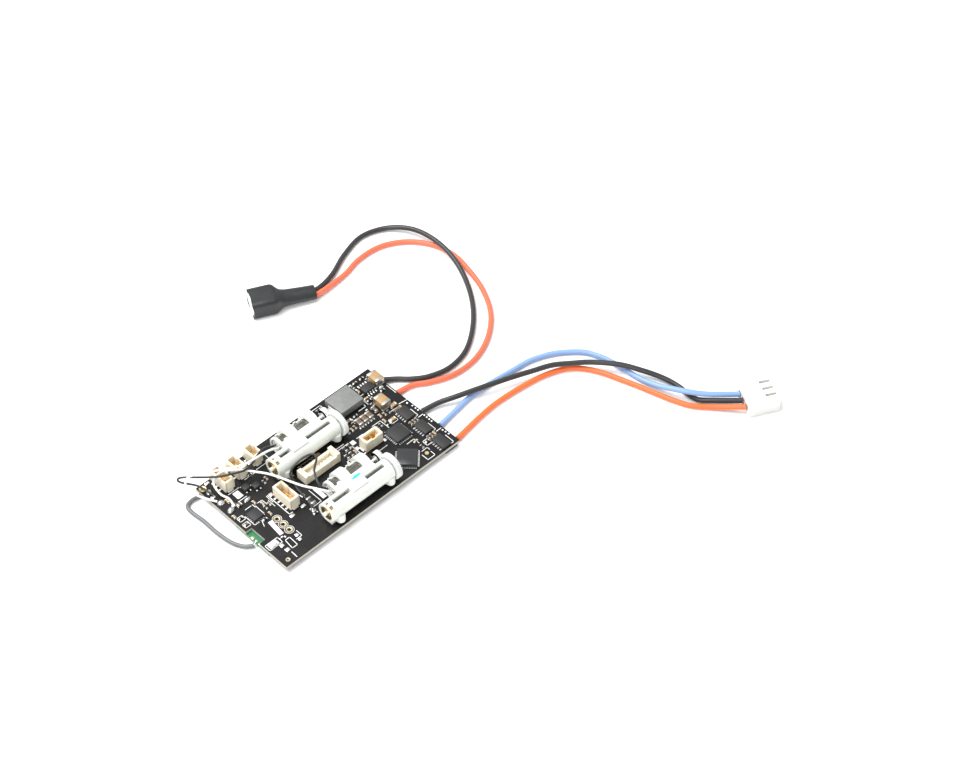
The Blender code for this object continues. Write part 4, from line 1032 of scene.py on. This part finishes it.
def buildPower():
    bm = bmesh.new()
    x, y, low = 13.9, 10.4, boardTop + 0.05
    addBlock(bm, (x - 3.3, y - 2.9, low), (x + 3.3, y + 2.9, low + 2.0), bevel=0.22, segments=3)
    makePiece("powerInductor", bm, "ferrite", stands=["power_inductor"])
    bm = bmesh.new()
    for side in (-1, 1):
        addSlab(bm, (x + side * 3.36, y), (0.24, 3.2), boardTop + 0.01, boardTop + 1.2, bevel=0.06)
        addSlab(bm, (x + side * 3.5, y), (0.7, 3.6), boardTop + 0.01, boardTop + 0.16, bevel=0.06)
    makePiece("inductorTabs", bm, "tin")

    large, largeEnds = bmesh.new(), bmesh.new()
    for x, y in ((23.6, 10.8), (19.95, 4.6)):
        addSmallPart(large, largeEnds, (x, y), (3.2, 2.4, 2.0), True)
    row = bmesh.new()
    for x in (12.4, 13.9, 15.4):
        addSmallPart(row, largeEnds, (x, 3.9), (2.0, 1.25, 1.0), True)
    makePiece("capacitorBodies", large, "tan", stands=["input_capacitor_1", "input_capacitor_2"])
    nodes = ["smoothing_capacitor_1", "smoothing_capacitor_2", "smoothing_capacitor_3"]
    makePiece("capacitorRow", row, "brown", stands=nodes)
    makePiece("capacitorEnds", largeEnds, "endTin")


holes = dict(row=[(-18.0, -3.7), (-18.0, -5.7), (-18.0, -7.7)], corner=(-24.0, 13.75))


def addHoles(name, spots, hole, pad, finish):
    # plated barrels with a raised rim
    bm = bmesh.new()
    deep, top = boardTop - 0.75, boardTop + 0.05
    ring = [(deep, hole - 0.05), (boardTop + 0.03, hole - 0.05), (top, hole), (top, pad - 0.04)]
    ring += [(boardTop + 0.01, pad), (boardTop - 0.01, hole + 0.02), (deep, hole - 0.01)]
    for x, y in spots:
        addTurned(bm, ring, (x, y, 0), "Z", 36)
    makePiece(name, bm, finish)


def buildBoards():
    refinish("circuit_board", "board")
    refinish("radio_board", "green")
    for node in ("low_side_driver_1", "low_side_driver_2", "radio_chip"):
        refinish(node, "epoxy")
    bm = bmesh.new()
    addBlock(bm, (-24.3, -9.1, boardTop + 0.05), (-21.9, -7.9, boardTop + 0.35), bevel=0.05)
    addBlock(bm, (-23.9, -8.95, boardTop + 0.3), (-22.3, -8.05, boardTop + 0.64), bevel=0.12)
    makePiece("statusLight", bm, "lens", stands=["status_led"])
    addHoles("platedHoles", holes["row"], 0.45, 0.8, "dullGold")
    addHoles("cornerHole", [holes["corner"]], 0.4, 0.85, "gold")


parts = [
    # body, size, whether it lies along Y, and the centres
    ("brown", (1.1, 0.55, 0.5), True, [
        (20.6, 0.95), (21.45, 0.95), (20.6, -4.1), (21.45, -4.1), (22.3, -4.1), (20.55, -9.75), (21.4, -9.75),
    ]),
    ("tan", (1.1, 0.55, 0.5), True, [
        (22.3, 1.0), (22.3, -9.75),
    ]),
    ("tan", (1.5, 0.8, 0.55), False, [
        (18.6, -0.4),
    ]),
    ("tan", (1.6, 0.9, 0.6), False, [
        (21.5, 2.6),
    ]),
    ("tan", (1.0, 0.5, 0.35), True, [
        (17.0, 0.7), (17.3, 2.4), (18.7, 11.2), (9.3, 12.9), (10.1, 3.7), (6.4, -1.5), (-18.6, 3.1),
        (-17.5, 1.6), (-18.1, -1.6),
    ]),
    ("resistor", (1.0, 0.5, 0.35), False, [
        (17.0, -0.8), (13.4, 6.2), (18.7, 7.5), (22.9, 7.7), (21.9, 13.6), (-11.1, -8.3), (-23.4, 1.7),
        (-19.9, -2.1), (-14.3, 9.6),
    ]),
    ("resistor", (1.0, 0.5, 0.35), True, [
        (15.6, 0.3), (19.5, 2.0), (18.3, 6.0), (18.7, 12.9), (8.3, 12.9), (9.0, 3.7), (-2.9, 3.3), (-3.9, 3.3),
        (-7.8, 3.3), (-17.7, 0.3), (-13.4, 5.9), (17.8, -10.6),
    ]),
    ("brown", (1.0, 0.5, 0.35), True, [
        (14.5, 0.1), (18.4, 2.1), (19.7, 7.4), (11.1, 3.8), (-1.9, 3.35), (-4.9, 3.3), (-16.5, 0.5),
        (-12.4, 6.4),
    ]),
    ("brown", (1.6, 0.8, 0.6), True, [
        (17.6, 4.6),
    ]),
    ("brown", (1.6, 0.8, 0.5), False, [
        (11.2, 6.0),
    ]),
    ("tan", (1.0, 0.5, 0.35), False, [
        (18.6, 8.4), (17.9, -8.5),
    ]),
    ("brown", (1.0, 0.5, 0.35), False, [
        (19.9, 13.6), (8.3, 11.2), (-23.6, -0.4),
    ]),
    ("resistor", (1.3, 0.7, 0.45), True, [
        (5.2, 0.5), (6.4, 0.5), (4.1, -1.4), (5.3, -1.5),
    ]),
    ("resistor", (1.3, 0.7, 0.45), False, [
        (3.7, -3.0),
    ]),
    ("tan", (1.4, 0.7, 0.5), False, [
        (-0.3, 3.5),
    ]),
    ("resistor", (2.0, 1.25, 0.6), True, [
        (-9.75, -5.2),
    ]),
    ("brown", (1.0, 0.9, 0.55), False, [
        (-21.3, 4.7),
    ]),
    ("tan", (0.9, 0.6, 0.35), True, [
        (-24.2, 3.0),
    ]),
    ("tan", (1.2, 0.7, 0.45), True, [
        (-22.4, 7.3),
    ]),
    ("resistor", (1.0, 0.6, 0.4), False, [
        (19.7, -10.3),
    ]),
]

inkLines = [
    # width, then the points of each printed line
    (0.16, (22.6, 0.8), (21.3, 1.75), (19.9, 1.75)), (0.16, (22.8, 2.2), (24.8, 1.9)),
    (0.16, (23.55, -0.8), (23.55, -3.2), (22.8, -3.2)), (0.16, (23.2, -3.75), (24.5, -3.75)),
    (0.16, (23.5, -6.5), (23.5, -8.9), (22.8, -8.9)), (0.16, (23.2, -9.5), (24.5, -9.5)),
    (0.16, (23.8, -11.7), (23.8, -14.3), (23.0, -14.3)), (0.14, (16.0, -7.7), (18.1, -7.7), (18.1, -9.3)),
    (0.14, (18.9, -9.6), (20.5, -9.6), (20.5, -11.1), (18.9, -11.1), (18.9, -9.6)),
    (0.16, (16.6, -10.9), (14.1, -13.5)), (0.14, (16.2, -12.3), (16.2, -14.2), (18.3, -14.2), (18.3, -12.9)),
    (0.14, (16.9, -11.5), (18.5, -11.5), (18.5, -12.3)),
    (0.14, (17.7, 0.25), (19.5, 0.25), (19.5, -1.1), (17.7, -1.1), (17.7, 0.25)),
    (0.18, (15.0, 6.8), (17.0, 6.8), (17.0, 7.4)), (0.14, (11.4, 5.3), (16.4, 5.3)),
    (0.14, (14.0, 1.4), (16.4, 1.4), (16.4, -1.4)), (0.14, (10.9, 1.2), (9.2, 1.2)),
    (0.2, (4.0, 1.45), (6.9, 1.45)), (0.2, (4.0, 2.0), (6.0, 2.0)),
    (0.14, (3.2, -4.0), (3.2, -2.3), (4.6, -2.3)), (0.14, (7.0, -3.9), (7.0, 0.2)),
    (0.14, (8.3, -4.9), (12.7, -4.9)), (0.14, (17.9, 13.7), (17.9, 9.9), (19.1, 9.9)),
    (0.14, (22.4, 12.9), (23.5, 12.9)), (0.14, (17.8, 8.9), (17.8, 6.9)), (0.14, (24.6, 8.2), (24.6, 5.2)),
    (0.14, (-5.6, 2.55), (-1.3, 2.55)), (0.14, (-5.6, 3.95), (-1.3, 3.95)),
    (0.14, (-8.7, 2.5), (-8.7, 4.1), (-7.2, 4.1)), (0.16, (-15.25, 2.6), (-15.25, -4.6), (-14.4, -4.6)),
    (0.12, (-15.6, 2.6), (-15.6, 0.4)), (0.16, (-22.45, 1.5), (-22.45, -1.7), (-21.2, -1.7)),
    (0.14, (-21.2, 2.9), (-19.6, 2.9)), (0.14, (-19.2, 2.9), (-19.2, 1.4)),
    (0.14, (-18.95, 2.2), (-18.95, -0.6)), (0.14, (-18.1, 2.5), (-16.9, 2.5), (-16.9, 0.9)),
    (0.12, (-16.0, 1.5), (-16.0, -0.7)), (0.14, (-21.6, -1.2), (-20.6, -1.2)),
    (0.14, (-20.6, -1.8), (-21.2, -3.3)),
    (0.13, (-24.1, 2.3), (-22.7, 2.3), (-22.7, 1.0), (-24.1, 1.0), (-24.1, 2.3)),
    (0.13, (-24.3, 0.25), (-22.9, 0.25), (-22.9, -1.0), (-24.3, -1.0), (-24.3, 0.25)),
    (0.15, (-24.6, -7.5), (-21.2, -7.5), (-21.2, -9.2), (-24.6, -9.2), (-24.6, -7.5)),
    (0.16, (-20.5, -9.25), (-20.8, -11.9), (-19.4, -11.9)),
    (0.16, (-20.5, -9.25), (-19.3, -9.25), (-19.4, -11.9)), (0.2, (-21.55, -12.6), (-21.6, -14.2)),
    (0.14, (-17.1, -9.0), (-17.1, -10.7), (-18.6, -10.7)), (0.14, (-21.1, 8.6), (-18.2, 8.6)),
    (0.14, (-20.9, 5.6), (-18.6, 5.6)), (0.14, (-8.0, -2.6), (-8.0, -6.6), (-11.3, -6.6)),
    (0.14, (-15.9, 9.4), (-13.2, 9.4)), (0.14, (-12.2, 9.8), (-9.0, 9.8)), (0.14, (-8.2, 10.6), (-8.2, 14.2)),
    (0.14, (7.2, 14.1), (9.9, 14.1), (9.9, 10.4)), (0.14, (-2.6, -6.0), (-2.6, -4.6), (-6.0, -4.6)),
]

labels = [
    # blank printed patches: centre, size, and a turn if they have one
    (-19.65, 7.2, 1.5, 2.0), (-19.75, -5.35, 1.0, 4.4, -6), (-6.75, -4.7, 1.0, 3.4), (7.8, 0.85, 1.1, 1.2),
    (24.25, 1.1, 0.4, 0.4), (24.55, -0.3, 0.35, 0.35), (24.55, -1.3, 0.35, 0.35), (24.55, -2.1, 0.35, 0.35),
    (24.5, -4.2, 0.35, 0.35), (24.5, -5.0, 0.35, 0.35), (24.45, -5.8, 0.35, 0.35), (24.45, -6.6, 0.35, 0.35),
    (24.4, -10.2, 0.35, 0.35), (24.5, -11.0, 0.35, 0.35), (24.6, -11.9, 0.35, 0.35), (18.8, 11.9, 0.3, 0.5),
    (18.6, 13.9, 0.5, 0.3), (19.3, 9.6, 0.3, 0.5), (23.3, 13.2, 0.3, 0.5), (16.4, 5.9, 0.5, 0.3),
    (12.2, 5.9, 0.3, 0.5), (9.3, 4.9, 0.5, 0.3), (7.7, -3.2, 0.5, 0.3), (-21.1, -8.2, 0.3, 0.3),
    (-20.4, -8.1, 0.5, 0.3), (-19.9, -8.5, 0.3, 0.5),
]

padSpots = [
    # bare tinned pads: centre and size
    (-21.93, -9.87, 0.9, 0.8), (-21.81, -11.5, 1.0, 0.9), (-17.84, -9.9, 0.8, 0.8), (-18.1, -11.2, 0.7, 0.7),
    (-14.55, 2.25, 0.8, 0.9), (-15.1, -5.3, 1.2, 0.7), (-11.7, -4.9, 1.2, 0.7), (-11.9, 2.4, 1.0, 0.7),
    (-9.9, -2.6, 0.9, 0.9), (-10.9, -7.3, 0.9, 0.9), (7.5, -1.0, 0.7, 0.9), (13.3, -1.0, 0.7, 0.8),
    (13.4, -3.4, 0.7, 0.8), (-23.9, 10.4, 0.9, 0.8), (-22.4, 14.3, 1.2, 0.6), (-17.3, 14.6, 0.8, 0.3),
    (-8.5, 12.4, 0.5, 1.1),
]

solderSpots = [
    # solder domes: centre, length, width, height, turn
    (-19.1, 4.65, 2.2, 1.0, 0.65, 12), (-23.5, 4.85, 2.0, 1.5, 0.8, 20), (-23.75, 7.9, 1.7, 1.5, 0.7, -20),
    (-23.7, 12.0, 1.6, 1.2, 0.55, 40), (-22.2, 5.6, 1.3, 1.0, 0.5, 0), (-9.85, -2.5, 0.9, 0.8, 0.5, 0),
    (-10.95, -7.2, 0.9, 0.8, 0.5, 0), (23.1, 8.4, 1.5, 0.9, 0.8, 0), (15.8, 2.7, 0.55, 0.55, 0.3, 0),
    (14.95, 2.7, 0.55, 0.55, 0.3, 0), (14.1, 2.7, 0.55, 0.55, 0.3, 0), (13.3, 2.7, 0.55, 0.55, 0.3, 0),
    (12.5, 2.7, 0.55, 0.55, 0.3, 0), (11.75, 2.7, 0.55, 0.55, 0.3, 0),
]


def addInk(bm, width, *points):
    # a thin raised printed line with square corners
    for (x0, y0), (x1, y1) in zip(points, points[1:]):
        length = math.hypot(x1 - x0, y1 - y0) + width
        turn = math.degrees(math.atan2(y1 - y0, x1 - x0))
        middle = ((x0 + x1) / 2, (y0 + y1) / 2)
        addSlab(bm, middle, (length, width), boardTop - 0.01, boardTop + 0.022, turn)


def addDome(bm, x, y, long, wide, high, turn):
    # a dome of solder, flattened on its pad
    rise = [(0.0, 1.0), (0.12, 1.0), (0.4, 0.93), (0.68, 0.74), (0.88, 0.48), (0.97, 0.22), (1.0, 0.0)]
    made = addTurned(bm, [(0.0, 0.0)] + rise, (0, 0, 0), "Z", 18)
    shape = Matrix.Translation((x, y, boardTop)) @ Matrix.Rotation(math.radians(turn), 4, "Z")
    shape = shape @ Matrix.Diagonal((long / 2, wide / 2, high, 1.0))
    bmesh.ops.transform(bm, matrix=shape, verts=made)


def buildSurface():
    bodies = {"tan": bmesh.new(), "brown": bmesh.new(), "resistor": bmesh.new()}
    ends = bmesh.new()
    for body, size, alongY, spots in parts:
        for spot in spots:
            addSmallPart(bodies[body], ends, spot, size, alongY)
    for body, bm in bodies.items():
        makePiece(body + "Parts", bm, body)
    makePiece("partEnds", ends, "endTin")
    ink = bmesh.new()
    for width, *points in inkLines:
        addInk(ink, width, *points)
    for x, y, *size in labels:
        addSlab(ink, (x, y), size[:2], boardTop - 0.01, boardTop + 0.024, *size[2:])
    # rings printed round the row of plated holes
    low, high, inner, outer = boardTop - 0.01, boardTop + 0.022, 0.98, 1.07
    for x, y in holes["row"]:
        addTurned(ink, [(low, inner), (high, inner), (high, outer), (low, outer)], (x, y, 0), "Z", 32)
    makePiece("printedMarks", ink, "ink", smooth=0)
    pads = bmesh.new()
    for x, y, long, wide in padSpots:
        addSlab(pads, (x, y), (long, wide), boardTop - 0.01, boardTop + 0.1, bevel=0.04)
    makePiece("barePads", pads, "tin")
    blobs = bmesh.new()
    for spot in solderSpots:
        addDome(blobs, *spot)
    makePiece("solderDomes", blobs, "solder", smooth=60)
    # round gold test point, and pads of the radio board in the notch
    gold = bmesh.new()
    disc = [(boardTop - 0.01, 0.0), (boardTop - 0.01, 0.5), (boardTop + 0.06, 0.46), (boardTop + 0.06, 0.0)]
    addTurned(gold, disc, (17.35, -12.6, 0), "Z", 24)
    for y in (-3.4, -5.85):
        addBlock(gold, (-24.9, y - 0.4, 0.94), (-24.25, y + 0.4, 1.0), bevel=0.03)
    makePiece("goldPads", gold, "gold")
    corner = bmesh.new()
    ring = [(-0.01, 0.24), (0.03, 0.26), (0.04, 0.3), (0.04, 0.5), (-0.01, 0.54)]
    addTurned(corner, [(boardTop + up, radius) for up, radius in ring], (-23.45, -13.55, 0), "Z", 28)
    makePiece("cornerPad", corner, "dullGold")
    blob = bmesh.new()
    rise = [(0.94, 0.0), (0.94, 0.42), (1.05, 0.38), (1.14, 0.2), (1.16, 0.0)]
    addTurned(blob, rise, (-24.5, -4.6, 0), "Z", 18)
    core = addTurned(blob, [(-0.6, 0.0), (-0.6, 0.15), (0.55, 0.15), (0.55, 0.0)], (0, 0, 0), "X", 16)
    lie = Matrix.Translation((-25.05, -4.83, 0.98)) @ Matrix.Rotation(0.37, 4, "Z") @ Matrix.Rotation(-0.12, 4, "Y")
    bmesh.ops.transform(blob, matrix=lie, verts=core)
    makePiece("coaxJoint", blob, "solder", smooth=60)
    print("surface done")


def setStage():
    bm = bmesh.new()
    bmesh.ops.create_grid(bm, x_segments=1, y_segments=1, size=1.5)
    mesh = bpy.data.meshes.new("benchTop")
    bm.to_mesh(mesh)
    bm.free()
    floor = bpy.data.objects.new("benchTop", mesh)
    bpy.context.scene.collection.objects.link(floor)
    mesh.materials.append(finishes["floor"])
    world = bpy.data.worlds.new("studio")
    bpy.context.scene.world = world
    world.use_nodes = True
    sky = world.node_tree.nodes["Background"]
    sky.inputs["Color"].default_value = (1.0, 1.0, 1.0, 1.0)
    sky.inputs["Strength"].default_value = 0.75
    lamps = [
        dict(name="overheadBox", place=(-0.12, 0.25, 0.6), size=0.5, power=6.0),
        dict(name="sideBox", place=(-0.5, -0.25, 0.35), size=0.3, power=1.6),
    ]
    for lamp in lamps:
        data = bpy.data.lights.new(lamp["name"], "AREA")
        data.energy = lamp["power"]
        data.size = lamp["size"]
        light = bpy.data.objects.new(lamp["name"], data)
        bpy.context.scene.collection.objects.link(light)
        light.location = lamp["place"]
        facing = Vector((0.02, 0, 0)) - Vector(lamp["place"])
        light.rotation_euler = facing.to_track_quat("-Z", "Y").to_euler()
    bpy.context.scene.view_settings.view_transform = "Standard"


aimCamera()
mixFinishes()
print("finishes mixed")
layCords()
print("cords laid")
buildBoards()
buildServos()
print("servos built")
buildSockets()
print("sockets built")
buildChips()
buildLeads()
buildPower()
buildSurface()
setStage()
print("stage set")
